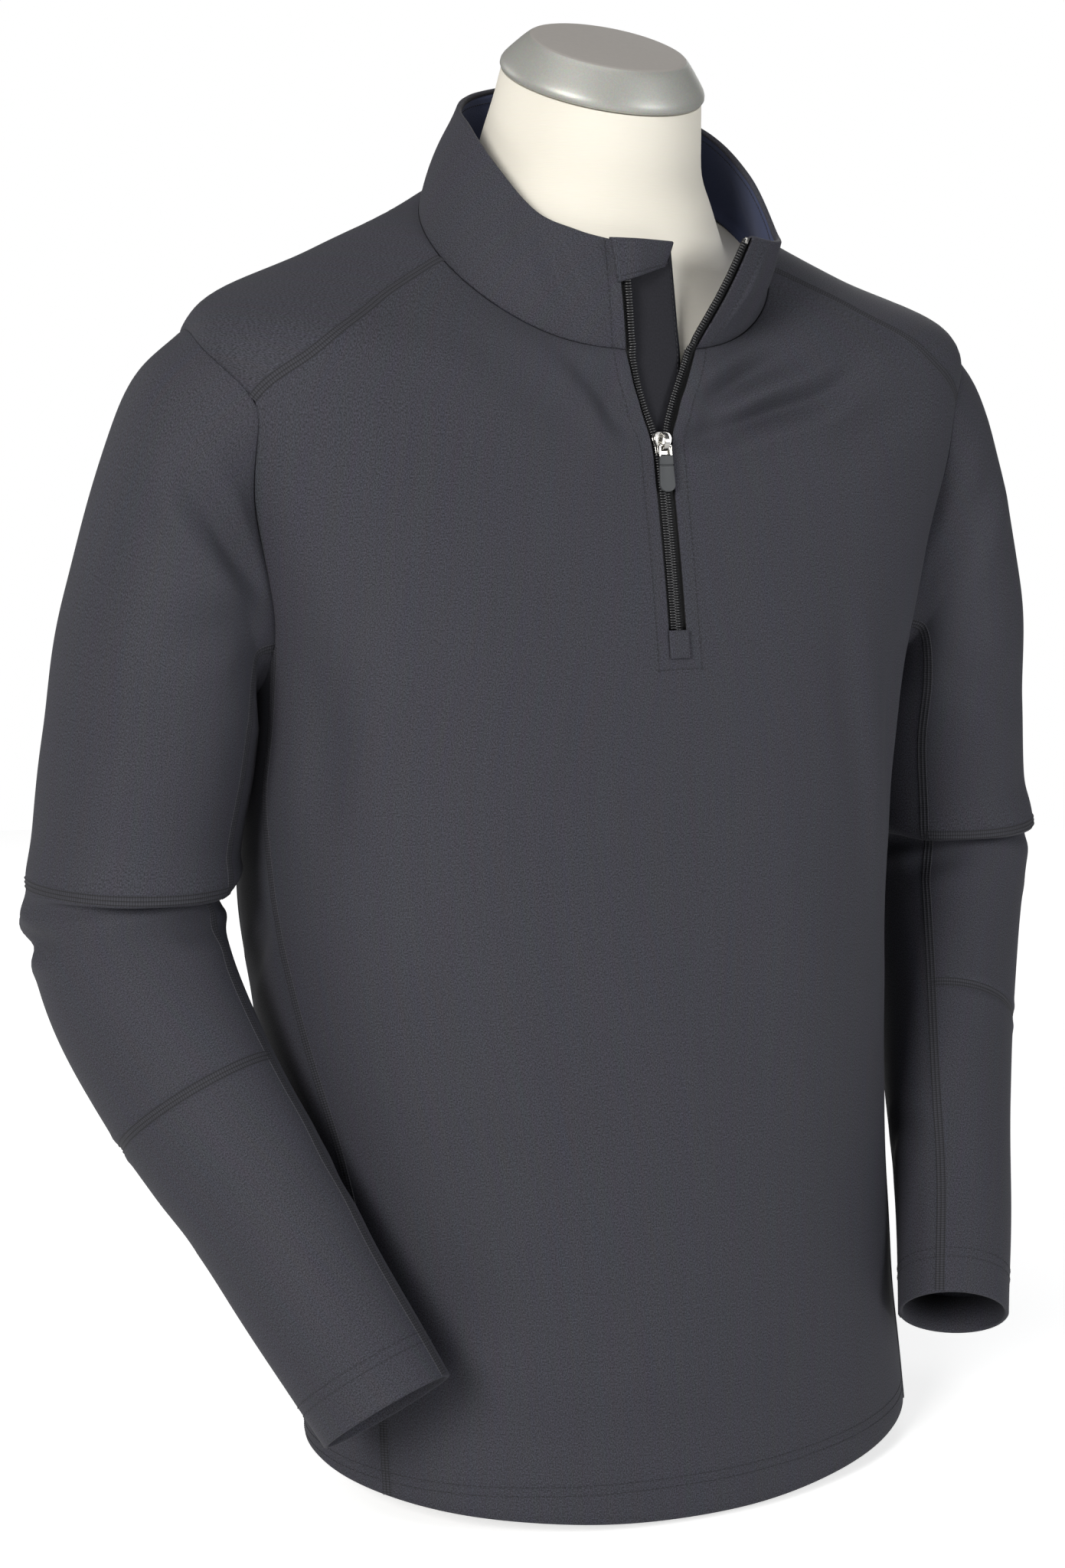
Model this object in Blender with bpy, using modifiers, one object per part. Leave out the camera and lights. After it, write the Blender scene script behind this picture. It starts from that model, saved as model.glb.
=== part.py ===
"""A quarter-zip pullover worn by a limbless dress form. Metres, +Z up, the front faces -Y.

The origin is the centre of the form's flat foot. The wearer's left is +X.
Body panels lie on one torso surface and sleeve panels on one sleeve surface. A place on the torso is
(angle, level): angle in degrees, 0 at the front centre and 90 at the wearer's left, and level, a row
of TORSO. A place on a sleeve is (turn, level): turn in degrees round the arm, 0 on top, 90 in front.
"""

import math

import bmesh
import bpy
import numpy as np
from mathutils import Matrix

# Driving sizes
CLOTH = 0.0014  # wall of the jersey
SEAM_GAP = 0.0003  # between two pieces that are sewn together
LAYER_GAP = 0.0003  # between two layers that lie on each other
SAME_POINT = 0.00005  # two sheets' points this close are one
EDGE_FADE = 4  # how fast the bends of a panel's top and bottom edges fade inside it
RING_STEPS = 24  # points round an armhole and a sleeve
SIDE_STEPS = 9  # points from the hem to the underarm
TAPE = 0.0012  # thickness of the zip's tape
FORM_INSET = 0.0036  # the form's shoulders below the outside of the cloth

# Columns: height at the front, side and back, half width, then y at the front, side and back
TORSO = (
    (0.005, 0.020, 0.014, 0.188, -0.148, -0.010, 0.116),  # 0, hem
    (0.100, 0.105, 0.100, 0.187, -0.140, 0.008, 0.138),
    (0.200, 0.200, 0.200, 0.187, -0.128, 0.024, 0.160),
    (0.300, 0.300, 0.300, 0.189, -0.116, 0.037, 0.176),
    (0.390, 0.385, 0.390, 0.193, -0.104, 0.040, 0.180),
    (0.465, 0.455, 0.465, 0.202, -0.095, 0.036, 0.174),  # 5, underarm
    (0.540, 0.540, 0.545, 0.222, -0.082, 0.028, 0.160),
    (0.590, 0.620, 0.615, 0.243, -0.071, 0.020, 0.140),
    (0.612, 0.664, 0.662, 0.234, -0.067, 0.018, 0.122),  # 8, over the shoulder's end
    (0.628, 0.688, 0.702, 0.172, -0.065, 0.015, 0.104),
    (0.645, 0.709, 0.738, 0.106, -0.063, 0.013, 0.088),  # 10, neck seam
)
# At each row, 2 is an ellipse and more is squarer
SQUARENESS = (2.1, 2.0, 2.1, 2.3, 2.45, 2.5, 2.5, 2.5, 2.4, 2.2, 2.0)

# Columns: turn, torso angle, torso level
ARMHOLE = (
    (0, 92, 7.72),
    (45, 78, 7.06),
    (90, 79, 6.2),
    (135, 79, 5.35),
    (180, 92, 4.9),
    (225, 106, 5.35),
    (270, 108, 6.25),
    (315, 106, 7.1),
)

# Columns: centre x, y, z, half width sideways and fore-and-aft, then the ring's tilt out and forward
SLEEVE = (
    (0.240, 0.037, 0.536, 0.088, 0.062, 68, 0),
    (0.257, 0.046, 0.475, 0.061, 0.069, 38, 0),
    (0.264, 0.054, 0.420, 0.055, 0.067, 15, 0),
    (0.270, 0.057, 0.375, 0.054, 0.064, 6, 4),
    (0.275, 0.056, 0.335, 0.055, 0.062, 0, 12),
    (0.270, 0.047, 0.293, 0.053, 0.058, -12, 24),
    (0.253, 0.015, 0.240, 0.048, 0.051, -20, 32),
    (0.228, -0.028, 0.184, 0.0425, 0.045, -23, 35),
    (0.206, -0.069, 0.131, 0.0390, 0.040, -22, 35),
    (0.182, -0.106, 0.079, 0.0365, 0.036, -20, 35),
)
CUFF_LEVEL = len(SLEEVE)
ELBOW_SEAM_LEVELS = (4.6, 7.2)  # where the elbow panel starts and ends


def smooth(rows, level):
    """The row of a table at any level, on a curve through its rows."""
    last = len(rows) - 1
    level = min(max(level, 0.0), last)
    here = min(int(level), last - 1)
    step = level - here
    table = np.array(rows, float)
    before = table[max(here - 1, 0)]
    start, end = table[here], table[here + 1]
    after = table[min(here + 2, last)]
    tangent_in = (end - before) / (2 if here > 0 else 1)
    tangent_out = (after - start) / (2 if here + 2 <= last else 1)
    square, cube = step * step, step * step * step
    return (
        (2 * cube - 3 * square + 1) * start
        + (cube - 2 * square + step) * tangent_in
        + (3 * square - 2 * cube) * end
        + (cube - square) * tangent_out
    )


def round_table(rows, turn):
    """The row of a closed table at any turn. Its first column is the turn."""
    closed = list(rows[-2:]) + list(rows) + list(rows[:3])
    turn = turn % 360
    turns = [row[0] for row in rows] + [360]
    here = max(index for index, value in enumerate(turns) if value <= turn + 1e-9)
    here = min(here, len(rows) - 1)
    share = (turn - turns[here]) / (turns[here + 1] - turns[here])
    values = [row[1:] for row in closed]
    return smooth(values, here + 2 + share)


def torso(angle, level):
    """A point on the outside of the torso."""
    z_front, z_side, z_back, half_width, y_front, y_side, y_back = smooth(TORSO, level)
    power = float(smooth([(value,) for value in SQUARENESS], level)[0])
    turn = math.radians(angle)
    depth = y_side - y_front if math.cos(turn) > 0 else y_back - y_side
    across, along = abs(math.sin(turn)) / half_width, abs(math.cos(turn)) / depth
    radius = (across**power + along**power) ** (-1 / power)
    middle = (z_front + z_back) / 2
    lean = (z_front - z_back) / 2
    z = (
        (middle + z_side) / 2
        + 1.19 * lean * math.cos(turn)
        + (middle - z_side) / 2 * math.cos(2 * turn)
        - 0.19 * lean * math.cos(3 * turn)
    )
    return np.array((radius * math.sin(turn), y_side - radius * math.cos(turn), z))


def sleeve_ring(row, turn):
    """A point on one ring of the left sleeve."""
    x, y, z, out, front, tilt, pitch = row
    tilt, pitch, turn = math.radians(tilt), math.radians(pitch), math.radians(turn)
    outward = np.array((math.cos(tilt), 0, math.sin(tilt)))
    forward = np.array((0, -math.cos(pitch), math.sin(pitch)))
    return np.array((x, y, z)) + out * math.cos(turn) * outward + front * math.sin(turn) * forward


def sleeve(turn, level):
    """A point on the outside of the left sleeve. Level 0 is the armhole."""
    rings = [torso(*round_table(ARMHOLE, turn))]
    rings += [sleeve_ring(row, turn) for row in SLEEVE]
    return smooth(rings, level)


def line(start, end, steps):
    """Evenly spaced places from one to the other."""
    return [np.array(start) + (np.array(end) - start) * k / steps for k in range(steps + 1)]


def curve(places, steps):
    """Places on a smooth curve through the ones given, evenly spaced."""
    last = len(places) - 1
    return [smooth(places, last * k / steps) for k in range(steps + 1)]


def armhole(first, last):
    """Torso places along the armhole between two turns."""
    step = 360 / RING_STEPS
    count = round((last - first) / step)
    return [round_table(ARMHOLE, first + step * k) for k in range(count + 1)]


def patch(left, bottom, right, top):
    """A grid of places that fills four edges. Left and right run upwards, the others rightwards."""
    rows, columns = len(left) - 1, len(bottom) - 1
    grid = np.zeros((rows + 1, columns + 1, 2))
    for i in range(rows + 1):
        near_top, near_bottom = (i / rows) ** EDGE_FADE, (1 - i / rows) ** EDGE_FADE
        for j in range(columns + 1):
            u = j / columns
            top_bend = top[j] - (1 - u) * left[-1] - u * right[-1]
            bottom_bend = bottom[j] - (1 - u) * left[0] - u * right[0]
            straight = (1 - u) * left[i] + u * right[i]
            grid[i, j] = straight + near_top * top_bend + near_bottom * bottom_bend
    return grid


def on_surface(surface, grid):
    return np.array([[surface(*place) for place in row] for row in grid])


def mirrored(points):
    """The same sheet on the other side, its columns turned round so that it still faces out."""
    return points[:, ::-1] * np.array((-1, 1, 1))


def weld(sheets):
    """The sheets as one list of points and one of four-sided faces, joined where their points meet."""
    points, faces = np.zeros((0, 3)), []
    for sheet in sheets:
        names, before = {}, len(points)
        for (i, j), _ in np.ndenumerate(sheet[..., 0]):
            apart = np.linalg.norm(points[:before] - sheet[i, j], axis=1)
            if before and apart.min() < SAME_POINT:
                names[i, j] = int(apart.argmin())
            else:
                names[i, j] = len(points)
                points = np.vstack([points, sheet[i, j]])
        for i in range(sheet.shape[0] - 1):
            for j in range(sheet.shape[1] - 1):
                faces.append((names[i, j], names[i, j + 1], names[i + 1, j + 1], names[i + 1, j]))
    return points, faces


def normals_at(points, faces):
    """The direction out of the cloth at each point."""
    total = np.zeros_like(points)
    for a, b, c, d in faces:
        total[[a, b, c, d]] += np.cross(points[c] - points[a], points[d] - points[b])
    return total / np.linalg.norm(total, axis=1, keepdims=True)


def edge_shift(points, faces, normals, distance):
    """How far each point of the sheet's edge moves so that the edge is drawn in by a distance."""
    sides = {(face[k], face[(k + 1) % 4]) for face in faces for k in range(4)}
    rim = [(a, b) for a, b in sides if (b, a) not in sides]
    inward = {}
    for a, b in rim:
        across = np.cross(normals[a] + normals[b], points[b] - points[a])
        for point in (a, b):
            inward.setdefault(point, []).append(across / np.linalg.norm(across))
    shift = np.zeros_like(points)
    for point, (first, second) in inward.items():
        shift[point] = distance * (first + second) / (1 + first @ second)
    return shift, rim


def moved_in(sheet, distance):
    """The sheet as a layer that lies inside itself."""
    points, faces = weld([sheet])
    normals = normals_at(points, faces)
    return (points - normals * distance).reshape(sheet.shape)


def material(name, colour, roughness, metallic=0.0):
    made = bpy.data.materials.new(name)
    made.use_nodes = True
    shader = made.node_tree.nodes["Principled BSDF"]
    shader.inputs["Base Color"].default_value = (*colour, 1)
    shader.inputs["Roughness"].default_value = roughness
    shader.inputs["Metallic"].default_value = metallic
    return made


def add_mesh(name, vertices, faces, finish):
    mesh = bpy.data.meshes.new(name)
    mesh.from_pydata([tuple(vertex) for vertex in vertices], [], faces)
    mesh.materials.append(finish)
    made = bpy.data.objects.new(name, mesh)
    PARTS.objects.link(made)
    mesh.shade_smooth()
    mesh.set_sharp_from_angle(angle=math.radians(40))
    return made


def wall(name, sheets, finish, thickness=CLOTH, seam_normals=None):
    """A piece of cloth as a closed wall: its outside, its inside and the strip round its edge."""
    points, faces = weld(sheets)
    normals = normals_at(points, faces)
    if seam_normals is not None:
        everywhere, directions = seam_normals
        nearest = [np.argmin(np.sum((everywhere - point) ** 2, axis=1)) for point in points]
        normals = directions[nearest]
    shift, rim = edge_shift(points, faces, normals, SEAM_GAP / 2)
    outer = points + shift
    vertices = np.concatenate([outer, outer - normals * thickness])
    half = len(points)
    solid = list(faces)
    solid += [tuple(half + corner for corner in reversed(face)) for face in faces]
    solid += [(b, a, half + a, half + b) for a, b in rim]
    return add_mesh(name, vertices, solid, finish)


# ---- scene
for old in list(bpy.data.objects):
    bpy.data.objects.remove(old)
PARTS = bpy.data.collections.new("quarter_zip_pullover")
bpy.context.scene.collection.children.link(PARTS)
CHARCOAL = material("charcoal jersey", (0.060, 0.060, 0.068), 0.85)
NAVY = material("navy jersey", (0.045, 0.052, 0.110), 0.85)
BLACK_TAPE = material("black zip tape", (0.010, 0.010, 0.011), 0.70)
CHROME = material("nickelled slider", (0.62, 0.62, 0.62), 0.25, 1.0)
GREY_RUBBER = material("grey moulded tab", (0.080, 0.080, 0.085), 0.45)
CREAM_COVER = material("cream form cover", (0.84, 0.80, 0.70), 0.80)
SILVER_PAINT = material("silver cap", (0.40, 0.42, 0.42), 0.35, 0.8)

# ---- body panels
# Places from the hem up to the armhole
SIDE_SEAM_FRONT = ((69.5, 0), (69, 1), (71.5, 2), (78, 3), (83, 4), (82, 4.7))
SIDE_SEAM_BACK = ((112, 0), (112, 1), (110, 2), (106, 3), (102, 4), (103, 4.7))
# Turns of the armhole where the side panel's two seams and the shoulder seam end
FRONT_CORNER, BACK_CORNER, SHOULDER_CORNER = 135, 225, 45
# Places from the neck out to the armhole
SHOULDER_SEAM = ((81, 10), (77, 9.4), (72.5, 8.45), (73, 7.75), (78, 7.06))
FRONT_STEPS, BACK_STEPS, SHOULDER_STEPS = 8, 12, 6
SLIT_END_LEVEL = 5.25
SLIT_HALF_WIDTH = 0.0057
# Columns: level, x of the front opening's edge
LEFT_OPENING = ((6.3, 0.0057), (7.05, 0.0058), (7.7, 0.010), (8.4, 0.0145), (9.2, 0.020), (10, 0.027))
RIGHT_OPENING = ((6.3, 0.0057), (7.05, 0.0058), (7.7, 0.009), (8.4, 0.012), (9.2, 0.0155), (10, 0.019))


def angle_at(x, level):
    """The torso angle of a point of the front that lies x from the centre line."""
    y_front, y_side = smooth(TORSO, level)[4:6]
    return math.degrees(math.atan2(x, y_side - y_front))


def slit_edge(opening):
    """Places up one edge of the front opening."""
    places = [(0.0, SLIT_END_LEVEL), (angle_at(SLIT_HALF_WIDTH, SLIT_END_LEVEL), SLIT_END_LEVEL + 0.02)]
    return [np.array(place) for place in places + [(angle_at(x, level), level) for level, x in opening]]


def half_front(opening):
    """The wearer's left half of the front."""
    outer = front_seam + front_armhole[1:] + shoulder_seam[::-1][1:]
    slit = slit_edge(opening)
    centre = line((0.0, 0.0), slit[0], len(outer) - len(slit)) + slit[1:]
    neck = line(centre[-1], SHOULDER_SEAM[0], FRONT_STEPS)
    hem = line((0.0, 0.0), front_seam[0], FRONT_STEPS)
    return on_surface(torso, patch(centre, hem, outer, neck))


def other_side(places):
    """The same places on the wearer's right, as angles that run on round the back."""
    return [np.array((360 - angle, level)) for angle, level in places]


front_seam = curve([*SIDE_SEAM_FRONT, tuple(round_table(ARMHOLE, FRONT_CORNER))], SIDE_STEPS)
back_seam = curve([*SIDE_SEAM_BACK, tuple(round_table(ARMHOLE, BACK_CORNER))], SIDE_STEPS)
front_armhole = armhole(SHOULDER_CORNER, FRONT_CORNER)[::-1]
shoulder_seam = curve(SHOULDER_SEAM, SHOULDER_STEPS)
neck_back = line(SHOULDER_SEAM[0], other_side(SHOULDER_SEAM[:1])[0], BACK_STEPS)
back_left = back_seam + armhole(BACK_CORNER, SHOULDER_CORNER + 360)[1:]
back_right = other_side(back_left)
back_top = shoulder_seam[::-1] + neck_back[1:] + other_side(shoulder_seam)[1:]
back_hem = line(back_left[0], back_right[0], len(back_top) - 1)
whole_back = on_surface(torso, patch(back_left, back_hem, back_right, back_top))

underarm = armhole(FRONT_CORNER, BACK_CORNER)
side_hem = line(front_seam[0], back_seam[0], len(underarm) - 1)
left_side = on_surface(torso, patch(front_seam, side_hem, back_seam, underarm))

pieces = {
    "front": [mirrored(half_front(RIGHT_OPENING)), half_front(LEFT_OPENING)],
    "back": [whole_back],
    "side_panel_left": [left_side],
    "side_panel_right": [mirrored(left_side)],
}

# ---- sleeve panels: the top sleeve is cut at two elbow seams, the under sleeve runs from armhole to cuff
FRONT_LONG_SEAM, BACK_LONG_SEAM = 135, 225
UPPER_STEPS, ELBOW_STEPS, LOWER_STEPS = 7, 3, 5


def sleeve_grid(first_turn, last_turn, levels):
    steps = round((last_turn - first_turn) * RING_STEPS / 360)
    turns = np.linspace(first_turn, last_turn, steps + 1)
    return on_surface(sleeve, [[(turn, level) for turn in turns] for level in levels])


elbow_top, elbow_bottom = ELBOW_SEAM_LEVELS
stretches = {
    "top_sleeve_upper": np.linspace(0, elbow_top, UPPER_STEPS + 1),
    "top_sleeve_elbow": np.linspace(elbow_top, elbow_bottom, ELBOW_STEPS + 1),
    "top_sleeve_lower": np.linspace(elbow_bottom, CUFF_LEVEL, LOWER_STEPS + 1),
}
sleeve_sheets = {
    name: sleeve_grid(BACK_LONG_SEAM - 360, FRONT_LONG_SEAM, levels) for name, levels in stretches.items()
}
all_levels = sorted({level for levels in stretches.values() for level in levels})
sleeve_sheets["under_sleeve"] = sleeve_grid(FRONT_LONG_SEAM, BACK_LONG_SEAM, all_levels)
for name, sheet in sleeve_sheets.items():
    pieces[name + "_left"] = [sheet]
    pieces[name + "_right"] = [mirrored(sheet)]

# ---- collar: an outer and an inner layer, open at the front, its left end turned outwards
COLLAR_BOW = 0.003
OUTER_ROWS = (0, 0.25, 0.5, 0.75, 1)  # shares of the collar's height
INNER_ROWS = (0.1, 0.25, 0.5, 0.75, 0.95)
# Columns: x, y, z of the top edge, from the wearer's left end round the back to the right end
COLLAR_TOP = (
    (0.053, -0.076, 0.706),
    (0.079, -0.060, 0.705),
    (0.092, -0.034, 0.714),
    (0.092, -0.002, 0.748),
    (0.085, 0.040, 0.777),
    (0.055, 0.077, 0.795),
    (0.000, 0.094, 0.803),
    (-0.045, 0.081, 0.796),
    (-0.071, 0.050, 0.784),
    (-0.078, 0.018, 0.770),
    (-0.073, -0.009, 0.746),
    (-0.060, -0.033, 0.720),
    (-0.042, -0.049, 0.709),
    (-0.024, -0.060, 0.703),
)


def collar_base():
    """Places along the neck seam, from the wearer's left end round the back to the right end."""
    left_end, right_end = (slit_edge(opening)[-1] for opening in (LEFT_OPENING, RIGHT_OPENING))
    left = line(left_end, SHOULDER_SEAM[0], FRONT_STEPS)
    right = line(right_end, SHOULDER_SEAM[0], FRONT_STEPS)
    return left + neck_back[1:] + other_side(right)[::-1][1:]


def collar_sheet(shares):
    """The collar's outside at these shares of its height."""
    base = [torso(*place) for place in collar_base()]
    count = len(base) - 1
    rows = []
    for share in shares:
        row = []
        for j, low in enumerate(base):
            high = smooth(COLLAR_TOP, (len(COLLAR_TOP) - 1) * j / count)
            out = low * (1, 1, 0) - (0, 0.015, 0)
            bow = COLLAR_BOW * math.sin(math.pi * share) * out / np.linalg.norm(out)
            row.append(low + (high - low) * share + bow)
        rows.append(row)
    return np.array(rows)


pieces["collar_outer"] = [collar_sheet(OUTER_ROWS)]
all_points, all_faces = weld([sheet for sheets in pieces.values() for sheet in sheets])
shared = (all_points, normals_at(all_points, all_faces))
for name, sheets in pieces.items():
    wall(name, sheets, CHARCOAL, seam_normals=shared)
inner_collar = moved_in(collar_sheet(INNER_ROWS), CLOTH + 3 * LAYER_GAP)
wall("collar_inner", [inner_collar[:, 1:-1]], NAVY)

# ---- zip tapes, behind the edges of the opening
TAPE_UNDER, TAPE_OUT = 0.006, 0.0054  # how far a tape reaches under the cloth and past its edge
TAPE_DEPTH = CLOTH + 3 * LAYER_GAP


def opening_edge(opening, side):
    """Points and outward directions up one edge of the opening and of the collar. side: 1 is the left."""
    body = on_surface(torso, [[(side * (angle + step), level) for step in (0, 2)]
                              for angle, level in slit_edge(opening)[1:]])
    collar = collar_sheet(OUTER_ROWS)
    collar = collar[1:, :2] if side > 0 else collar[1:, :-3:-1]
    rows = np.concatenate([body, collar])
    points = rows[:, 0]
    along = np.gradient(points, axis=0)
    into = rows[:, 1] - rows[:, 0]
    out = np.cross(into, along) * side
    out /= np.linalg.norm(out, axis=1, keepdims=True)
    across = np.cross(out, along) * side
    return points, out, across / np.linalg.norm(across, axis=1, keepdims=True)


def tape(opening, side):
    """One tape: columns from under the cloth to the teeth's edge."""
    points, out, across = opening_edge(opening, side)
    reaches = (-TAPE_UNDER, 0, TAPE_OUT)
    columns = [points + across * reach - out * TAPE_DEPTH for reach in reaches[:: -side]]
    return np.stack(columns, axis=1)


for name, opening, side in (("left", LEFT_OPENING, 1), ("right", RIGHT_OPENING, -1)):
    wall("zip_tape_" + name, [tape(opening, side)], BLACK_TAPE, thickness=TAPE)

# ---- wind guard behind the zip and the flap folded over the top of the wearer's right tape
GUARD_DEPTH = TAPE_DEPTH + TAPE + 5 * LAYER_GAP
GUARD = 0.0012
# Columns: torso level, x of the edge on the wearer's right and of the edge on the left
GUARD_BODY = (
    (5.10, -0.0120, 0.0100),
    (6.00, -0.0125, 0.0100),
    (7.05, -0.0130, 0.0100),
    (8.00, -0.0180, 0.0120),
    (9.00, -0.0215, 0.0155),
    (9.75, -0.0245, 0.0180),
)
# Columns: height, the two edges
GUARD_COLLAR = ((0.662, -0.0265, 0.0165), (0.684, -0.0290, 0.0138), (0.704, -0.0310, 0.0115))
NECK_FRONT_Y, NECK_MIDDLE_Y, NECK_HALF_WIDTH = -0.063, 0.0145, 0.090  # the collar's front, as an ellipse
FLAP_LOW = ((-0.0250, 0.6810), (0.0065, 0.6905))  # x, z of the flap's lower corners
FLAP_HIGH = ((-0.0280, 0.7015), (0.0112, 0.6975))
FLAP_OVER, FLAP_BEHIND = 0.0045, -0.0026  # its outside at the two ends, from the collar's outside


def collar_front(x, z):
    """A point on the outside of the collar's front."""
    depth = (NECK_MIDDLE_Y - NECK_FRONT_Y) * math.sqrt(1 - (x / NECK_HALF_WIDTH) ** 2)
    return np.array((x, NECK_MIDDLE_Y - depth, z))


guard_rows = [[torso(angle_at(x, level), level) for x in np.linspace(right, left, 6)]
              for level, right, left in GUARD_BODY]
guard_rows += [[collar_front(x, z) for x in np.linspace(right, left, 6)] for z, right, left in GUARD_COLLAR]
wall("wind_guard", [moved_in(np.array(guard_rows), GUARD_DEPTH)], CHARCOAL, thickness=GUARD)

flap_rows = []
for share in (0, 0.5, 1):
    low, high = np.array(FLAP_LOW), np.array(FLAP_HIGH)
    (x_right, z_right), (x_left, z_left) = low + (high - low) * share
    row = []
    for u in np.linspace(0, 1, 6):
        x, z = x_right + (x_left - x_right) * u, z_right + (z_left - z_right) * u
        behind = max(0, (u - 0.35) / 0.65)
        row.append(collar_front(x, z) - (0, FLAP_OVER + (FLAP_BEHIND - FLAP_OVER) * behind, 0))
    flap_rows.append(row)
wall("chin_flap", [np.array(flap_rows)], CHARCOAL)

# ---- patch over the foot of the zip
PATCH, PATCH_HALF_WIDTH, PATCH_LEVELS = 0.0010, 0.0061, (5.155, 5.25, 5.35)
patch_sheet = [[torso(angle_at(x, level), level) for x in (-PATCH_HALF_WIDTH, 0, PATCH_HALF_WIDTH)]
               for level in PATCH_LEVELS]
wall("zip_end_patch", [moved_in(np.array(patch_sheet), -PATCH - LAYER_GAP)], CHARCOAL, thickness=PATCH)

# ---- slider: two plates round the teeth as one body, with a bridge that holds the pull
SLIDER_LEVEL = 7.12
SLIDER_WIDTH, SLIDER_FOOT_WIDTH, SLIDER_LENGTH, SLIDER_THICKNESS = 0.0106, 0.0084, 0.0130, 0.0034
BRIDGE_RADIUS, BRIDGE_WIRE, BRIDGE_STRETCH, BRIDGE_RISE = 0.0034, 0.0009, 1.25, 0.0012
HINGE_UP, HINGE_OUT = -0.0016, 0.0035  # from the slider's centre, along the chest and out of it
PULL_WIRE, PULL_HALF_WIDTH = 0.0008, 0.0034
TAB_START, TAB_LENGTH, TAB_THICKNESS = 0.0056, 0.0200, 0.0019  # the start is below the hinge
TAB_HALF_TOP, TAB_HALF_END = 0.0040, 0.0047
TAB_REST = 4.0  # degrees that the hanging tab leans in towards the chest


def applied(made):
    """Replaces an object's mesh by the one its modifiers make."""
    graph = bpy.context.evaluated_depsgraph_get()
    graph.update()
    made.data = bpy.data.meshes.new_from_object(made.evaluated_get(graph))
    made.modifiers.clear()
    return made


def bevelled(made, width, segments=2):
    bevel = made.modifiers.new("Bevel", "BEVEL")
    bevel.width = width
    bevel.segments = segments
    bevel.limit_method = "ANGLE"
    return applied(made)


def joined(made, other):
    """The two as one body."""
    union = made.modifiers.new("Union", "BOOLEAN")
    union.operation = "UNION"
    union.object = other
    applied(made)
    bpy.data.objects.remove(other)
    made.data.shade_smooth()
    made.data.set_sharp_from_angle(angle=math.radians(40))
    return made


chest_low, chest_high = torso(0, SLIDER_LEVEL - 0.3), torso(0, SLIDER_LEVEL + 0.3)
chest_up = (chest_high - chest_low) / np.linalg.norm(chest_high - chest_low)
chest_out = np.array((0, -chest_up[2], chest_up[1]))
lean = math.atan2(chest_up[1], chest_up[2])
slider_centre = torso(0, SLIDER_LEVEL)
hinge = slider_centre + chest_up * HINGE_UP + chest_out * HINGE_OUT

shape = bmesh.new()
bmesh.ops.create_cube(shape, size=1, matrix=Matrix.Diagonal((SLIDER_WIDTH, SLIDER_THICKNESS, SLIDER_LENGTH, 1)))
for vertex in shape.verts:
    if vertex.co.z < 0:
        vertex.co.x *= SLIDER_FOOT_WIDTH / SLIDER_WIDTH
slider_mesh = bpy.data.meshes.new("zip_slider")
shape.to_mesh(slider_mesh)
shape.free()
slider_mesh.materials.append(CHROME)
slider = bpy.data.objects.new("zip_slider", slider_mesh)
PARTS.objects.link(slider)
bevelled(slider, 0.0009)
bpy.ops.mesh.primitive_torus_add(major_radius=BRIDGE_RADIUS, minor_radius=BRIDGE_WIRE, major_segments=24,
                                 minor_segments=10, rotation=(0, math.pi / 2, 0))
bridge = bpy.context.object
bridge.scale = (BRIDGE_STRETCH, 1, 1)
bridge.location = (0, -SLIDER_THICKNESS / 2 - BRIDGE_RISE, 0)
joined(slider, bridge)
slider.location = slider_centre
slider.rotation_euler = (-lean, 0, 0)

# ---- pull: a wire bail through the bridge, with a moulded tab. Its origin is on the hinge
bail_curve = bpy.data.curves.new("bail", "CURVE")
bail_curve.dimensions = "3D"
bail_curve.bevel_depth = PULL_WIRE
bail_curve.bevel_resolution = 2
spline = bail_curve.splines.new("POLY")
corner, reach = 0.0009, TAB_START + 0.0018
corners = ((-PULL_HALF_WIDTH, 0), (PULL_HALF_WIDTH, 0), (PULL_HALF_WIDTH, -reach), (-PULL_HALF_WIDTH, -reach))
turned = [(math.cos(math.radians(45 * k)) * corner, math.sin(math.radians(45 * k)) * corner) for k in range(8)]
bail_points = []
for (x, z), first in zip(corners, (4, 2, 0, 6)):
    inner_x, inner_z = x - math.copysign(corner, x), z + (corner if z < 0 else -corner)
    for k in (first, first - 1, first - 2):
        bail_points.append((inner_x + turned[k % 8][0], 0, inner_z + turned[k % 8][1]))
spline.points.add(len(bail_points) - 1)
for point, place in zip(spline.points, bail_points):
    point.co = (*place, 1)
spline.use_cyclic_u = True
bail_curve_object = bpy.data.objects.new("bail", bail_curve)
PARTS.objects.link(bail_curve_object)
graph = bpy.context.evaluated_depsgraph_get()
bail_mesh = bpy.data.meshes.new_from_object(bail_curve_object.evaluated_get(graph))
bpy.data.objects.remove(bail_curve_object)
bail = bpy.data.objects.new("bail", bail_mesh)
PARTS.objects.link(bail)

tab_curve = bpy.data.curves.new("tab", "CURVE")
tab_curve.dimensions = "2D"
tab_curve.fill_mode = "BOTH"
tab_curve.extrude = TAB_THICKNESS / 2
outline = tab_curve.splines.new("POLY")
end_middle = TAB_START + TAB_LENGTH - TAB_HALF_END
tab_places = [(-TAB_HALF_TOP, -TAB_START), (TAB_HALF_TOP, -TAB_START)]
for k in range(13):
    turn = math.pi * k / 12
    tab_places.append((TAB_HALF_END * math.cos(turn), -end_middle - TAB_HALF_END * math.sin(turn)))
outline.points.add(len(tab_places) - 1)
for point, (x, y) in zip(outline.points, tab_places):
    point.co = (x, y, 0, 1)
outline.use_cyclic_u = True
tab_curve_object = bpy.data.objects.new("tab", tab_curve)
PARTS.objects.link(tab_curve_object)
graph = bpy.context.evaluated_depsgraph_get()
tab_mesh = bpy.data.meshes.new_from_object(tab_curve_object.evaluated_get(graph))
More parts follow.
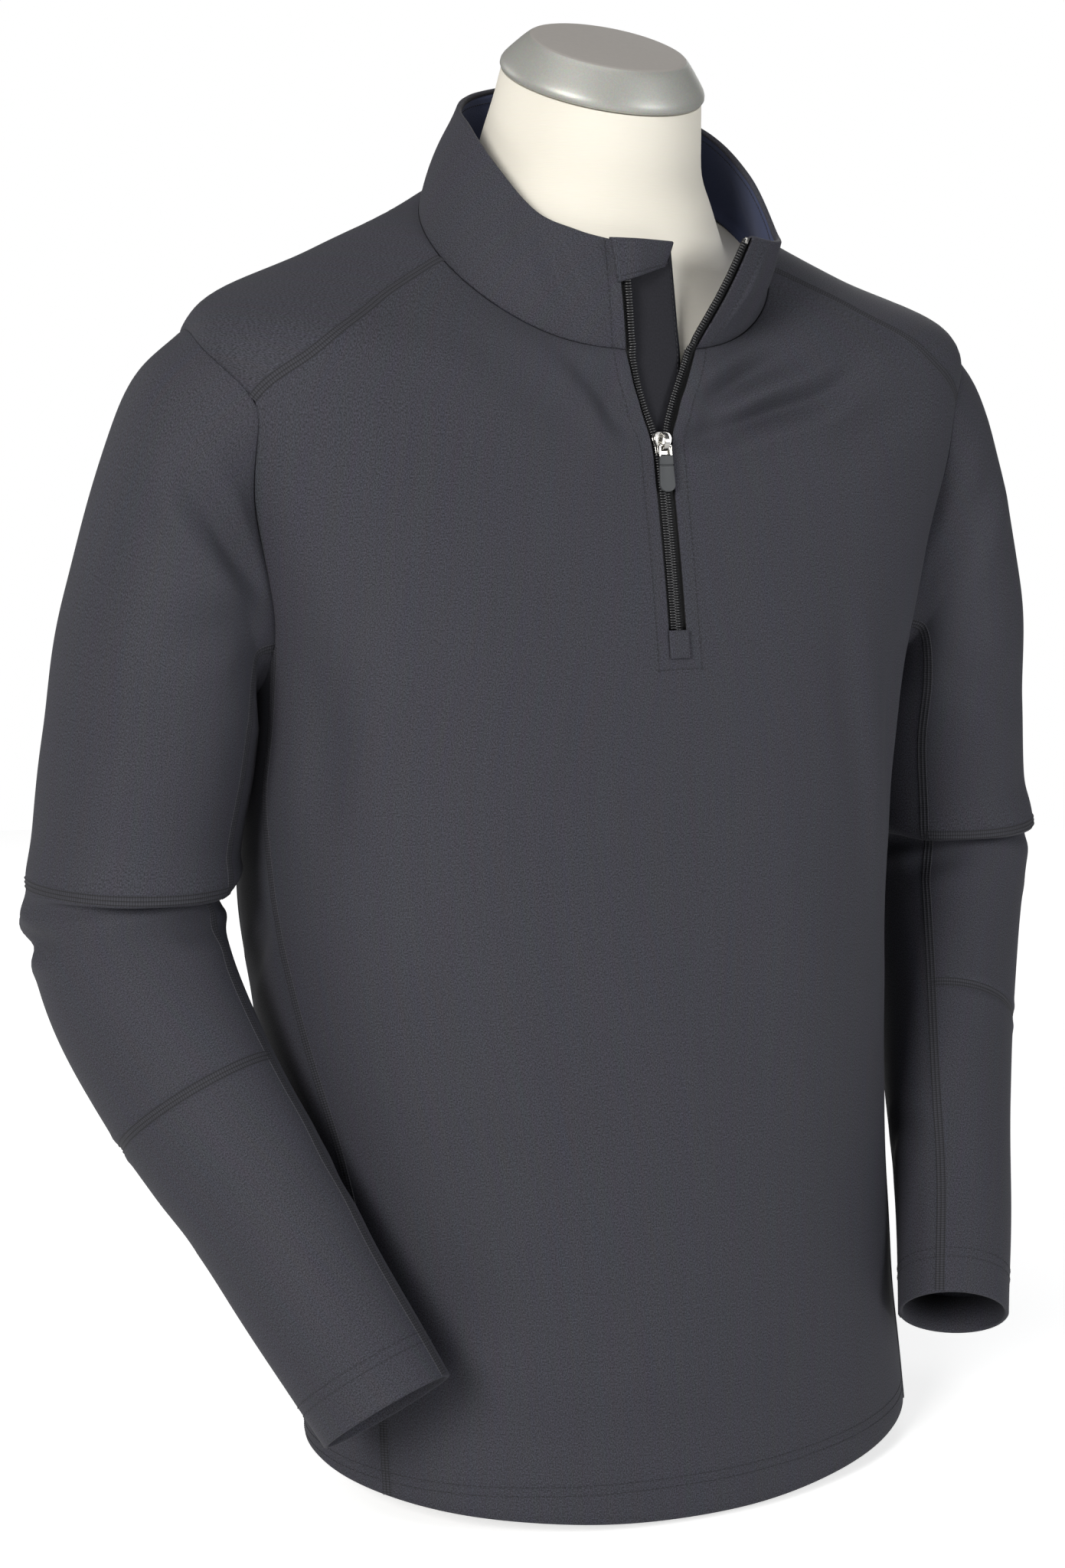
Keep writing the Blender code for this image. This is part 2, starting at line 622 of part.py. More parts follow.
bpy.data.objects.remove(tab_curve_object)
tab_mesh.transform(Matrix.Rotation(math.pi / 2, 4, "X"))
welded = bmesh.new()
welded.from_mesh(tab_mesh)
bmesh.ops.remove_doubles(welded, verts=welded.verts, dist=0.00001)
welded.to_mesh(tab_mesh)
welded.free()
tab_mesh.materials.clear()
tab_mesh.materials.append(GREY_RUBBER)
pull = bpy.data.objects.new("zip_pull", tab_mesh)
PARTS.objects.link(pull)
bevelled(pull, 0.0004)
joined(pull, bail)
pull.location = hinge
pull.rotation_euler = (math.radians(TAB_REST) - lean, 0, 0)

# ---- the dress form: a padded torso with a foot, shoulders and a neck, and a cap on the neck
FORM_POINTS = 32
# Columns: torso level, how far the form lies below the outside of the cloth
FORM_BODY = (
    (0.5, 0.036),
    (1.0, 0.030),
    (2.0, 0.022),
    (3.0, 0.016),
    (4.0, 0.010),
    (5.0, 0.006),
    (6.0, 0.0035),
    (6.5, FORM_INSET),
    (7.0, FORM_INSET),
    (7.5, FORM_INSET),
    (8.0, 0.0042),
    (8.5, 0.0048),
    (9.0, 0.0056),
    (9.5, 0.0078),
    (10.0, 0.0075),
)
ZIP_ROOM = 0.0044  # how much deeper the form lies behind the zip
FOOT_HALF_WIDTH, FOOT_HALF_DEPTH = 0.135, 0.078
# Columns: the ring's middle y and z, half width, half depth, degrees it tilts forward
FORM_NECK = (
    (0.0150, 0.7162, 0.0775, 0.0730, 28),
    (0.0165, 0.7379, 0.0702, 0.0690, 26),
    (0.0190, 0.7567, 0.0646, 0.0646, 24),
    (0.0120, 0.7780, 0.0605, 0.0605, 24),
    (0.0066, 0.7956, 0.0578, 0.0578, 24),
)
CAP_TILT, CAP_RISE = 24, 0.0003
# Columns: radius and height up the cap's side, from the bottom
CAP_PROFILE = ((0.0572, 0.0), (0.0588, 0.0025), (0.0592, 0.0055), (0.0570, 0.0105), (0.0520, 0.0165),
               (0.0475, 0.0200), (0.0450, 0.0214), (0.0430, 0.0218))


def tilted_ring(y, z, half_width, half_depth, tilt):
    tilt = math.radians(tilt)
    ring = []
    for turn in np.linspace(0, 2 * math.pi, FORM_POINTS, endpoint=False):
        forward = half_depth * math.cos(turn)
        place = (half_width * math.sin(turn), y - forward * math.cos(tilt), z - forward * math.sin(tilt))
        ring.append(place)
    return ring


angles = np.linspace(0, 360, FORM_POINTS, endpoint=False)
levels = np.array([row[0] for row in FORM_BODY])
around = np.append(angles[-1] - 360, [*angles, 360])  # with one more on each side, for the normals
sheet = on_surface(torso, [[(angle, level) for angle in around] for level in levels])
sheet_points, sheet_faces = weld([sheet])
sheet_normals = normals_at(sheet_points, sheet_faces).reshape(sheet.shape)
form_rings = [tilted_ring(0, 0, FOOT_HALF_WIDTH, FOOT_HALF_DEPTH, 0)]
for index, (level, inset) in enumerate(FORM_BODY):
    room = [ZIP_ROOM * max(0, math.cos(math.radians(angle))) ** 2 for angle in angles]
    depth = inset + np.array(room) * (level > 4.5)
    form_rings.append(sheet[index, 1:-1] - sheet_normals[index, 1:-1] * depth[:, None])
form_rings += [tilted_ring(*row) for row in FORM_NECK]
form_points = np.concatenate(form_rings)
form_faces = []
for i in range(len(form_rings) - 1):
    for j in range(FORM_POINTS):
        a, b = i * FORM_POINTS + j, i * FORM_POINTS + (j + 1) % FORM_POINTS
        form_faces.append((a, b, b + FORM_POINTS, a + FORM_POINTS))
form_faces.append(tuple(reversed(range(FORM_POINTS))))
form_faces.append(tuple(range(len(form_points) - FORM_POINTS, len(form_points))))
add_mesh("form_torso", form_points, form_faces, CREAM_COVER)

profile = bpy.data.meshes.new("form_neck_cap")
heights = [(0.0, 0.0), *CAP_PROFILE, (0.0, CAP_PROFILE[-1][1])][::-1]
profile.from_pydata([(radius, 0, height) for radius, height in heights],
                    [(k, k + 1) for k in range(len(heights) - 1)], [])
profile.materials.append(SILVER_PAINT)
cap = bpy.data.objects.new("form_neck_cap", profile)
PARTS.objects.link(cap)
screw = cap.modifiers.new("Screw", "SCREW")
screw.steps = 32
screw.render_steps = 32
screw.use_merge_vertices = True
screw.merge_threshold = 0.0001
cap_y, cap_z = FORM_NECK[-1][:2]
cap_tilt = math.radians(CAP_TILT)
cap.location = (0, cap_y - CAP_RISE * math.sin(cap_tilt), cap_z + CAP_RISE * math.cos(cap_tilt))
cap.rotation_euler = (cap_tilt, 0, 0)
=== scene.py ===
"""The look of a quarter-zip pullover on a limbless dress form, in soft studio light."""

import math

import bmesh
import bpy
import numpy as np
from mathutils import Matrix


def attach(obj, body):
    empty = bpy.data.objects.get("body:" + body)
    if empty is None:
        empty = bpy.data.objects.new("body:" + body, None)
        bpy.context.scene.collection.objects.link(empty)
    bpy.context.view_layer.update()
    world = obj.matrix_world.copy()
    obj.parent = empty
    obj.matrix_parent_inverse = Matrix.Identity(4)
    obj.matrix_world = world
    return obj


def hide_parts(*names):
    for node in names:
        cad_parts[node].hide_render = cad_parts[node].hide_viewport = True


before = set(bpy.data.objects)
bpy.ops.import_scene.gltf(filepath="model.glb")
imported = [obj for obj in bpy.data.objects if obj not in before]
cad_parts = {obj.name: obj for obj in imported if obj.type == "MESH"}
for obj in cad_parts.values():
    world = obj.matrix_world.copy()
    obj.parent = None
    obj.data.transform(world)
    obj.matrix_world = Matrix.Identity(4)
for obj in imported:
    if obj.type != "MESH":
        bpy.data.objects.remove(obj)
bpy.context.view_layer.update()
GARMENT, PULL = "garment_on_form", "pull_tab"


# ---- Studio. A white sweep under large diffused lamps, seen from the wearer's right front at chest
# height, as a shop photographs knitwear.
def look_at(thing, place, target):
    direction = np.array(target) - np.array(place)
    thing.location = place
    flat = math.hypot(direction[0], direction[1])
    thing.rotation_euler = (math.atan2(flat, -direction[2]), 0, math.atan2(-direction[0], direction[1]))


CAMERA_PLACE, CAMERA_TARGET, LENS = (-0.665, -1.328, 0.609), (-0.0380, 0.0177, 0.395), 58.6
camera_data = bpy.data.cameras.new("camera")
camera_data.sensor_fit = "VERTICAL"
camera_data.sensor_height = 36
camera_data.lens = LENS
camera = bpy.data.objects.new("camera", camera_data)
bpy.context.scene.collection.objects.link(camera)
look_at(camera, CAMERA_PLACE, CAMERA_TARGET)
bpy.context.scene.camera = camera

# Columns: place, target, width, height, watts, colour
LAMPS = (
    ((-2.45, -1.70, 1.50), (0, 0, 0.45), 1.1, 1.5, 73, (1.0, 0.99, 0.97)),
    ((1.5, -2.5, 1.25), (0, 0, 0.45), 1.0, 1.4, 33, (0.97, 0.985, 1.0)),
    ((-0.2, -0.3, 2.6), (0, 0, 0.40), 1.6, 1.2, 9, (1.0, 1.0, 1.0)),
    ((-1.6, 2.0, 1.6), (0, 0, 0.40), 1.0, 1.2, 9, (1.0, 1.0, 1.0)),
    ((1.6, 2.0, 1.6), (0, 0, 0.40), 1.0, 1.2, 9, (1.0, 1.0, 1.0)),
)
for number, (place, target, width, height, watts, colour) in enumerate(LAMPS):
    lamp_data = bpy.data.lights.new(f"softbox_{number}", "AREA")
    lamp_data.shape = "RECTANGLE"
    lamp_data.size, lamp_data.size_y = width, height
    lamp_data.energy = watts
    lamp_data.color = colour
    lamp = bpy.data.objects.new(f"softbox_{number}", lamp_data)
    bpy.context.scene.collection.objects.link(lamp)
    look_at(lamp, place, target)

# The room's soft fill is dimmer than the lit white backdrop that the camera sees
ROOM_FILL = 0.12
world = bpy.data.worlds.new("white_room")
world.use_nodes = True
room = world.node_tree
fill = room.nodes["Background"]
fill.inputs["Color"].default_value = (1, 1, 1, 1)
fill.inputs["Strength"].default_value = ROOM_FILL
backdrop = room.nodes.new("ShaderNodeBackground")
backdrop.inputs["Color"].default_value = (1, 1, 1, 1)
seen = room.nodes.new("ShaderNodeLightPath")
either = room.nodes.new("ShaderNodeMixShader")
room.links.new(seen.outputs["Is Camera Ray"], either.inputs[0])
room.links.new(fill.outputs[0], either.inputs[1])
room.links.new(backdrop.outputs[0], either.inputs[2])
room.links.new(either.outputs[0], room.nodes["World Output"].inputs["Surface"])
bpy.context.scene.world = world
bpy.context.scene.view_settings.view_transform = "Standard"


def linear(hex_colour):
    """An sRGB hex colour as linear light."""
    parts = [int(hex_colour[k:k + 2], 16) / 255 for k in (1, 3, 5)]
    return tuple(p / 12.92 if p <= 0.04045 else ((p + 0.055) / 1.055) ** 2.4 for p in parts) + (1.0,)


def new_material(name, colour, roughness, **constants):
    made = bpy.data.materials.new(name)
    made.use_nodes = True
    shader = made.node_tree.nodes["Principled BSDF"]
    shader.inputs["Base Color"].default_value = linear(colour)
    shader.inputs["Roughness"].default_value = roughness
    for socket, value in constants.items():
        shader.inputs[socket.replace("_", " ")].default_value = value
    return made, made.node_tree, shader


def add(tree, kind, links=(), settings=(), **values):
    """Adds a node. links: (input, socket it takes); settings: (property, value); values: input values."""
    made = tree.nodes.new(kind)
    for name, value in settings:
        setattr(made, name, value)
    for name, value in values.items():
        made.inputs[name.replace("_", " ")].default_value = value
    for name, socket in links:
        tree.links.new(socket, made.inputs[name])
    return made


def add_piece(name, mesh, finish, slot, body, *nodes):
    """Puts a mesh in the scene on a body, in place of the plain solids of these nodes."""
    made = bpy.data.objects.new(name, mesh)
    bpy.context.scene.collection.objects.link(made)
    if finish is not None:
        mesh.materials.append(finish)
    mesh.shade_smooth()
    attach(made, body)
    if nodes:
        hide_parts(*nodes)
    return made


FLOOR_RADIUS, FLOOR_SIDES = 2.4, 96
FLOOR_SEEN, FLOOR_LIGHT = 0.62, 0.12  # how brightly it glows to the camera, and on the pullover
floor_mesh = bpy.data.meshes.new("floor")
rim = [(FLOOR_RADIUS * math.cos(turn), FLOOR_RADIUS * math.sin(turn), 0)
       for turn in np.linspace(0, 2 * np.pi, FLOOR_SIDES, endpoint=False)]
floor_mesh.from_pydata(rim, [], [list(range(FLOOR_SIDES))])
paper, tree, shader = new_material("backlit white acrylic floor", "#f4f4f4", 0.9, Specular_IOR_Level=0.1)
shader.inputs["Emission Color"].default_value = (1, 1, 1, 1)
# The floor looks white but lights the hem only a little
light_path = add(tree, "ShaderNodeLightPath")
glow = add(tree, "ShaderNodeMapRange", [("Value", light_path.outputs["Is Camera Ray"])],
           To_Min=FLOOR_LIGHT, To_Max=FLOOR_SEEN)
tree.links.new(glow.outputs["Result"], shader.inputs["Emission Strength"])
floor_mesh.materials.append(paper)
floor = bpy.data.objects.new("floor", floor_mesh)
bpy.context.scene.collection.objects.link(floor)

# ---- Body surface. The jersey panels, the form under them and all that is sewn on share one torso
# shape, taken from level rings between the hem and the neck seam.
# Columns: height at the front, side and back, half width, then y at the front, side and back
TORSO = (
    (0.005, 0.020, 0.014, 0.188, -0.148, -0.010, 0.116),  # 0, hem
    (0.100, 0.105, 0.100, 0.187, -0.140, 0.008, 0.138),
    (0.200, 0.200, 0.200, 0.187, -0.128, 0.024, 0.160),
    (0.300, 0.300, 0.300, 0.189, -0.116, 0.037, 0.176),
    (0.390, 0.385, 0.390, 0.193, -0.104, 0.040, 0.180),
    (0.465, 0.455, 0.465, 0.202, -0.095, 0.036, 0.174),  # 5, underarm
    (0.540, 0.540, 0.545, 0.222, -0.082, 0.028, 0.160),
    (0.590, 0.620, 0.615, 0.243, -0.071, 0.020, 0.140),
    (0.612, 0.664, 0.662, 0.234, -0.067, 0.018, 0.122),  # 8, over the shoulder's end
    (0.628, 0.688, 0.702, 0.172, -0.065, 0.015, 0.104),
    (0.645, 0.709, 0.738, 0.106, -0.063, 0.013, 0.088),  # 10, neck seam
)
SQUARENESS = (2.1, 2.0, 2.1, 2.3, 2.45, 2.5, 2.5, 2.5, 2.4, 2.2, 2.0)  # 2 is an ellipse
# The cloth hangs fuller below the wearer's right arm: share of the width, level and spread
FULL_SIDE, FULL_LEVEL, FULL_SPREAD = 0.075, 3.3, 1.4


def row_at(table, level, own_column=False):
    """The rows of a table at any levels, on a curve through its rows, or one column's value a level."""
    table = np.array(table, float)
    last = len(table) - 1
    level = np.clip(np.asarray(level, float), 0, last)
    here = np.minimum(level.astype(int), last - 1)
    column = (np.arange(table.shape[1]),) if own_column else ()
    step = (level - here).reshape(level.shape + (1,) * (table.ndim - 1 - own_column))
    double_in = np.where(here > 0, 2, 1).reshape(step.shape)
    double_out = np.where(here + 2 <= last, 2, 1).reshape(step.shape)
    start, end = table[(here, *column)], table[(here + 1, *column)]
    tangent_in = (end - table[(np.maximum(here - 1, 0), *column)]) / double_in
    tangent_out = (table[(np.minimum(here + 2, last), *column)] - start) / double_out
    square, cube = step**2, step**3
    return ((2 * cube - 3 * square + 1) * start + (cube - 2 * square + step) * tangent_in
            + (3 * square - 2 * cube) * end + (cube - square) * tangent_out)


def torso(places):
    """Points on the outside of the body. A place is (angle, level); 0 is the front, 90 the left."""
    places = np.asarray(places, float)
    turn, level = np.radians(places[..., 0]), places[..., 1]
    z_front, z_side, z_back, half_width, y_front, y_side, y_back = np.moveaxis(row_at(TORSO, level), -1, 0)
    power = row_at([(value,) for value in SQUARENESS], level)[..., 0]
    depth = np.where(np.cos(turn) > 0, y_side - y_front, y_back - y_side)
    across, along = np.abs(np.sin(turn)) / half_width, np.abs(np.cos(turn)) / depth
    radius = (across**power + along**power) ** (-1 / power)
    middle, lean = (z_front + z_back) / 2, (z_front - z_back) / 2
    z = ((middle + z_side) / 2 + 1.19 * lean * np.cos(turn)
         + (middle - z_side) / 2 * np.cos(2 * turn) - 0.19 * lean * np.cos(3 * turn))
    points = np.stack((radius * np.sin(turn), y_side - radius * np.cos(turn), z), axis=-1)
    fuller = FULL_SIDE * np.exp(-((places[..., 1] - FULL_LEVEL) / FULL_SPREAD) ** 2)
    points[..., 0] = np.where(points[..., 0] < 0, points[..., 0] * (1 + fuller), points[..., 0])
    return points


def unit(vectors):
    return vectors / np.maximum(np.linalg.norm(vectors, axis=-1, keepdims=True), 1e-12)


def outward(grid):
    """Unit directions out of a grid of points whose columns run to the wearer's left in front."""
    return unit(np.cross(np.gradient(grid, axis=1), np.gradient(grid, axis=0)))


def grid_mesh(name, grids, uvs, weld=True):
    """A mesh of one or more grids of points, joined where they meet, with its UVs in metres."""
    shape = bmesh.new()
    layer = shape.loops.layers.uv.new("UVMap")
    for grid, uv in zip(grids, uvs):
        rows, columns = grid.shape[:2]
        verts = [[shape.verts.new(grid[i, j]) for j in range(columns)] for i in range(rows)]
        for i in range(rows - 1):
            for j in range(columns - 1):
                corners = ((i, j), (i, j + 1), (i + 1, j + 1), (i + 1, j))
                face = shape.faces.new([verts[a][b] for a, b in corners])
                for loop, corner in zip(face.loops, corners):
                    loop[layer].uv = uv[corner]
    if weld:
        bmesh.ops.remove_doubles(shape, verts=shape.verts, dist=0.0002)
    made = bpy.data.meshes.new(name)
    shape.to_mesh(made)
    shape.free()
    return made


def lengths(grid):
    """UVs in metres: how far each point lies along its row and along its column."""
    along_row = np.linalg.norm(np.diff(grid, axis=1), axis=-1)
    along_column = np.linalg.norm(np.diff(grid, axis=0), axis=-1)
    u = np.concatenate([np.zeros((grid.shape[0], 1)), np.cumsum(along_row, axis=1)], axis=1)
    v = np.concatenate([np.zeros((1, grid.shape[1])), np.cumsum(along_column, axis=0)], axis=0)
    return np.stack((u - u.mean(axis=1, keepdims=True), v.mean(axis=1, keepdims=True) + 0 * v), axis=-1)


# ---- Dress form. A padded fibreglass torso with a stretched cream cotton cover, standing on a flat
# foot hidden by the hem. Only its neck shows.
# Columns: torso level, how far the form lies below the outside of the cloth
FORM_BODY = (
    (0.5, 0.036), (1.0, 0.030), (2.0, 0.022), (3.0, 0.016), (4.0, 0.010), (5.0, 0.006), (6.0, 0.0040),
    (6.5, 0.0052), (7.0, 0.0070), (7.5, 0.0090), (8.0, 0.0092), (8.5, 0.0080), (9.0, 0.0068),
    (9.5, 0.0056), (10.0, 0.0048),
)
ZIP_ROOM = 0.0044  # how much further in it lies behind the zip
FOOT = (0, 0, 0.135, 0.078, 0)  # a ring, as below
# Columns: the ring's middle y and z, half width, half depth, degrees it tilts forward
FORM_NECK = (
    (0.0150, 0.7162, 0.0775, 0.0730, 28),
    (0.0165, 0.7379, 0.0702, 0.0690, 26),
    (0.0190, 0.7567, 0.0646, 0.0646, 24),
    (0.0120, 0.7780, 0.0605, 0.0605, 24),
    (0.0066, 0.7956, 0.0578, 0.0578, 24),
)
around = np.linspace(0, 360, 97)


def tilted_ring(y, z, half_width, half_depth, tilt):
    turn, tilt = np.radians(around), math.radians(tilt)
    forward = half_depth * np.cos(turn)
    return np.stack((half_width * np.sin(turn), y - forward * math.cos(tilt),
                     z - forward * math.sin(tilt)), axis=-1)


form_levels = np.arange(0.5, 10.01, 0.25)
body_grid = torso(np.stack(np.meshgrid(around, form_levels), axis=-1))
wide = torso(np.stack(np.meshgrid(np.concatenate([[-3.75], around, [363.75]]), form_levels), axis=-1))
inset = np.interp(form_levels, [row[0] for row in FORM_BODY], [row[1] for row in FORM_BODY])
room = ZIP_ROOM * np.maximum(0, np.cos(np.radians(around))) ** 2
depth = inset[:, None] + room[None, :] * (form_levels > 4.5)[:, None]
body_grid = body_grid - outward(wide)[:, 1:-1] * depth[..., None]
neck_rings = [tilted_ring(*row) for row in row_at(FORM_NECK, np.arange(0, 4.01, 0.25))]
foot_centre = np.zeros((1, len(around), 3))
neck_top = np.full((1, len(around), 3), (0, FORM_NECK[-1][0], FORM_NECK[-1][1]))
form_grid = np.concatenate([foot_centre, [tilted_ring(*FOOT)], body_grid, neck_rings, neck_top])

cotton, tree, shader = new_material("stretched cream cotton cover", "#f4efe2", 0.82, Sheen_Weight=0.05)
# A fine cotton jersey under tension: even threads about 0.6 mm apart, level round the neck
place = add(tree, "ShaderNodeTexCoord").outputs["Object"]
stretch = add(tree, "ShaderNodeMapping", [("Vector", place)], Scale=(120, 120, 1500))
thread = add(tree, "ShaderNodeTexNoise", [("Vector", stretch.outputs[0])], Scale=1.0, Detail=2.0)
soft = add(tree, "ShaderNodeTexNoise", [("Vector", place)], Scale=9.0, Detail=2.0)
tone = add(tree, "ShaderNodeMixRGB", [("Fac", soft.outputs["Fac"])], Color1=linear("#eae4d5"),
           Color2=linear("#f2ede1"))
grain = add(tree, "ShaderNodeMixRGB", [("Color1", tone.outputs[0]), ("Color2", thread.outputs["Color"])],
            [("blend_type", "SOFT_LIGHT")], Fac=0.10)
tree.links.new(grain.outputs[0], shader.inputs["Base Color"])
bump = add(tree, "ShaderNodeBump", [("Height", thread.outputs["Fac"])], Strength=0.25, Distance=0.0003)
tree.links.new(bump.outputs[0], shader.inputs["Normal"])
form = add_piece("form_cover", grid_mesh("form_cover", [form_grid], [lengths(form_grid)]), cotton,
                 "cream_cover", GARMENT, "form_torso")
form.data.set_sharp_from_angle(angle=math.radians(60))

# ---- Neck cap. A turned cap sprayed satin silver, with a flat top in a warmer grey, set on the neck.
# Columns: radius and height up the cap's side, from the bottom
CAP_PROFILE = (
    (0.0, 0.0), (0.0566, 0.0), (0.0582, 0.0006), (0.0590, 0.0022), (0.0588, 0.0042), (0.0578, 0.0062),
    (0.0555, 0.0092), (0.0528, 0.0125), (0.0500, 0.0158), (0.0478, 0.0182), (0.0464, 0.0196),
    (0.0450, 0.0206), (0.0435, 0.0211), (0.0420, 0.0213), (0.0, 0.0213),
)
CAP_TILT, CAP_RISE, CAP_TOP_FROM = 24, 0.0003, 0.0209
silver, tree, shader = new_material("satin silver lacquer", "#b4b4ae", 0.46, Metallic=0.45)
# Sprayed metallic lacquer: flakes a fraction of a millimetre across and a slight orange peel
place = add(tree, "ShaderNodeTexCoord").outputs["Object"]
flakes = add(tree, "ShaderNodeTexVoronoi", [("Vector", place)], Scale=1800.0)
peel = add(tree, "ShaderNodeTexNoise", [("Vector", place)], Scale=260.0, Detail=3.0)
flake_tone = add(tree, "ShaderNodeMixRGB", [("Color2", flakes.outputs["Color"])],
                 [("blend_type", "SOFT_LIGHT")], Fac=0.16, Color1=linear("#b4b4ae"))
tree.links.new(flake_tone.outputs[0], shader.inputs["Base Color"])
bump = add(tree, "ShaderNodeBump", [("Height", peel.outputs["Fac"])], Strength=0.12, Distance=0.0003)
tree.links.new(bump.outputs[0], shader.inputs["Normal"])
top_grey, tree, shader = new_material("matt grey cap top", "#a19c97", 0.6)
place = add(tree, "ShaderNodeTexCoord").outputs["Object"]
mottle = add(tree, "ShaderNodeTexNoise", [("Vector", place)], Scale=420.0, Detail=4.0)
top_tone = add(tree, "ShaderNodeMixRGB", [("Fac", mottle.outputs["Fac"])], Color1=linear("#9d9893"),
               Color2=linear("#a5a09b"))
tree.links.new(top_tone.outputs[0], shader.inputs["Base Color"])

cap_y, cap_z = FORM_NECK[-1][:2]
tilt = math.radians(CAP_TILT)
turns = np.radians(around)
cap_grid = []
for radius, height in CAP_PROFILE:
    up = height + CAP_RISE
    forward = radius * np.cos(turns)
    cap_grid.append(np.stack((radius * np.sin(turns),
                              cap_y - forward * math.cos(tilt) - up * math.sin(tilt),
                              cap_z - forward * math.sin(tilt) + up * math.cos(tilt)), axis=-1))
cap_grid = np.array(cap_grid)
cap_mesh = grid_mesh("neck_cap", [cap_grid], [lengths(cap_grid)])
cap_mesh.materials.append(silver)
cap_mesh.materials.append(top_grey)
axis = np.array((0, -math.sin(tilt), math.cos(tilt)))
for polygon in cap_mesh.polygons:
    height = (np.array(polygon.center) - (0, cap_y, cap_z)) @ axis
    polygon.material_index = int(height > CAP_TOP_FROM)
cap = add_piece("neck_cap", cap_mesh, None, "silver_cap", GARMENT, "form_neck_cap")
cap.data.set_sharp_from_angle(angle=math.radians(50))

# ---- Body panels. Charcoal double-knit jersey: a smooth face with a faint heather, 1 mm thick. Front,
# back and two side panels are cut and sewn edge to edge; the front is slit for the zip.
JERSEY = 0.0011
# Columns: turn, torso angle, torso level. Turn 0 is the sleeve's top, 90 its front
ARMHOLE = (
    (0, 92, 7.72), (45, 78, 7.06), (90, 79, 6.2), (135, 79, 5.35),
    (180, 92, 4.9), (225, 106, 5.35), (270, 108, 6.25), (315, 106, 7.1),
)
SIDE_SEAM_FRONT = ((69.5, 0), (69, 1), (71.5, 2), (78, 3), (83, 4), (82, 4.7))
SIDE_SEAM_BACK = ((112, 0), (112, 1), (110, 2), (106, 3), (102, 4), (103, 4.7))
SHOULDER_SEAM = ((81, 10), (77, 9.4), (72.5, 8.45), (73, 7.75), (78, 7.06))
FRONT_CORNER, BACK_CORNER, SHOULDER_CORNER = 135, 225, 45
SLIT_END_LEVEL, SLIT_HALF_WIDTH = 5.25, 0.0057
# Columns: level, x of the front opening's edge
LEFT_OPENING = ((6.3, 0.0057), (7.05, 0.0058), (7.7, 0.010), (8.4, 0.0145), (9.2, 0.020), (10, 0.027))
RIGHT_OPENING = ((6.3, 0.0057), (7.05, 0.0058), (7.4, 0.0084), (7.7, 0.0107), (8.4, 0.0146),
                 (9.2, 0.0173), (10, 0.019))
FINE = 160  # places along each edge of a panel's outline
SOFTENED = 29  # places over which the opening's edge is rounded


def armhole(turns):
    """Torso places at these turns of the armhole."""
    closed = [row[1:] for row in ARMHOLE[-2:] + ARMHOLE + ARMHOLE[:3]]
    return row_at(closed, 2 + (np.asarray(turns, float) % 360) / 45)


def curve(places, steps=FINE):
    return row_at(places, np.linspace(0, len(places) - 1, steps + 1))


def line(start, end, steps=FINE):
    share = np.linspace(0, 1, steps + 1)[:, None]
    return np.asarray(start) * (1 - share) + np.asarray(end) * share


def chained(*runs):
    """Runs of places end to end, as places evenly spaced along the body."""
    places = np.concatenate([runs[0]] + [run[1:] for run in runs[1:]])
    travel = np.concatenate([[0], np.cumsum(np.linalg.norm(np.diff(torso(places), axis=0), axis=1))])
    even = np.linspace(0, travel[-1], FINE + 1)
    return np.stack([np.interp(even, travel, places[:, k]) for k in (0, 1)], axis=-1)


def angle_at(x, level):
    """The torso angle of a point of the front that lies x from the centre line."""
    y_front, y_side = np.moveaxis(row_at(TORSO, level), -1, 0)[4:6]
    return np.degrees(np.arctan2(x, y_side - y_front))


def slit_edge(opening):
    levels = np.array([SLIT_END_LEVEL + 0.02] + [row[0] for row in opening])
    width = np.array([SLIT_HALF_WIDTH] + [row[1] for row in opening])
    fine = np.linspace(levels[0], levels[-1], FINE + 1)
    x = np.pad(np.interp(fine, levels, width), SOFTENED // 2, mode="reflect", reflect_type="odd")
    x = np.convolve(x, np.ones(SOFTENED) / SOFTENED, mode="valid")
    return np.stack((angle_at(x, fine), fine), axis=-1)


def spaced(count, length, fine=(0.0, 0.0009, 0.0021, 0.0038, 0.0062)):
    """Shares from 0 to 1 that lie close together near both ends, where the seams are."""
    near = np.array(fine) / length
    middle = np.linspace(near[-1], 1 - near[-1], count)
    return np.concatenate([near[:-1], middle, 1 - near[:-1][::-1]])


def at(edge, share):
    """The places at these shares of an edge."""
    shares = np.linspace(0, 1, len(edge))
    return np.stack([np.interp(share, shares, edge[:, k]) for k in (0, 1)], axis=-1)


def patch(left, bottom, right, top, u, v):
    """Places inside four edges, at these shares across and up."""
    left_at, right_at = at(left, v)[:, None], at(right, v)[:, None]
    u_shares, v_shares = u[None, :, None], v[:, None, None]
    straight = (1 - u_shares) * left_at + u_shares * right_at
    top_bend = at(top, u)[None] - (1 - u_shares) * left[-1] - u_shares * right[-1]
    bottom_bend = at(bottom, u)[None] - (1 - u_shares) * left[0] - u_shares * right[0]
    return straight + v_shares**4 * top_bend + (1 - v_shares) ** 4 * bottom_bend


def near_path(points, path):
    """For each point, how far it lies from a path, and the share of the path there."""
    best = np.full(points.shape[:-1], 9.0)
    share = np.zeros(points.shape[:-1])
    for k in range(len(path) - 1):
        step = path[k + 1] - path[k]
        t = np.clip(((points - path[k]) @ step) / (step @ step), 0, 1)
        away = np.linalg.norm(points - path[k] - t[..., None] * step, axis=-1)
        closer = away < best
        best = np.where(closer, away, best)
        share = np.where(closer, (k + t) / (len(path) - 1), share)
    return best, share


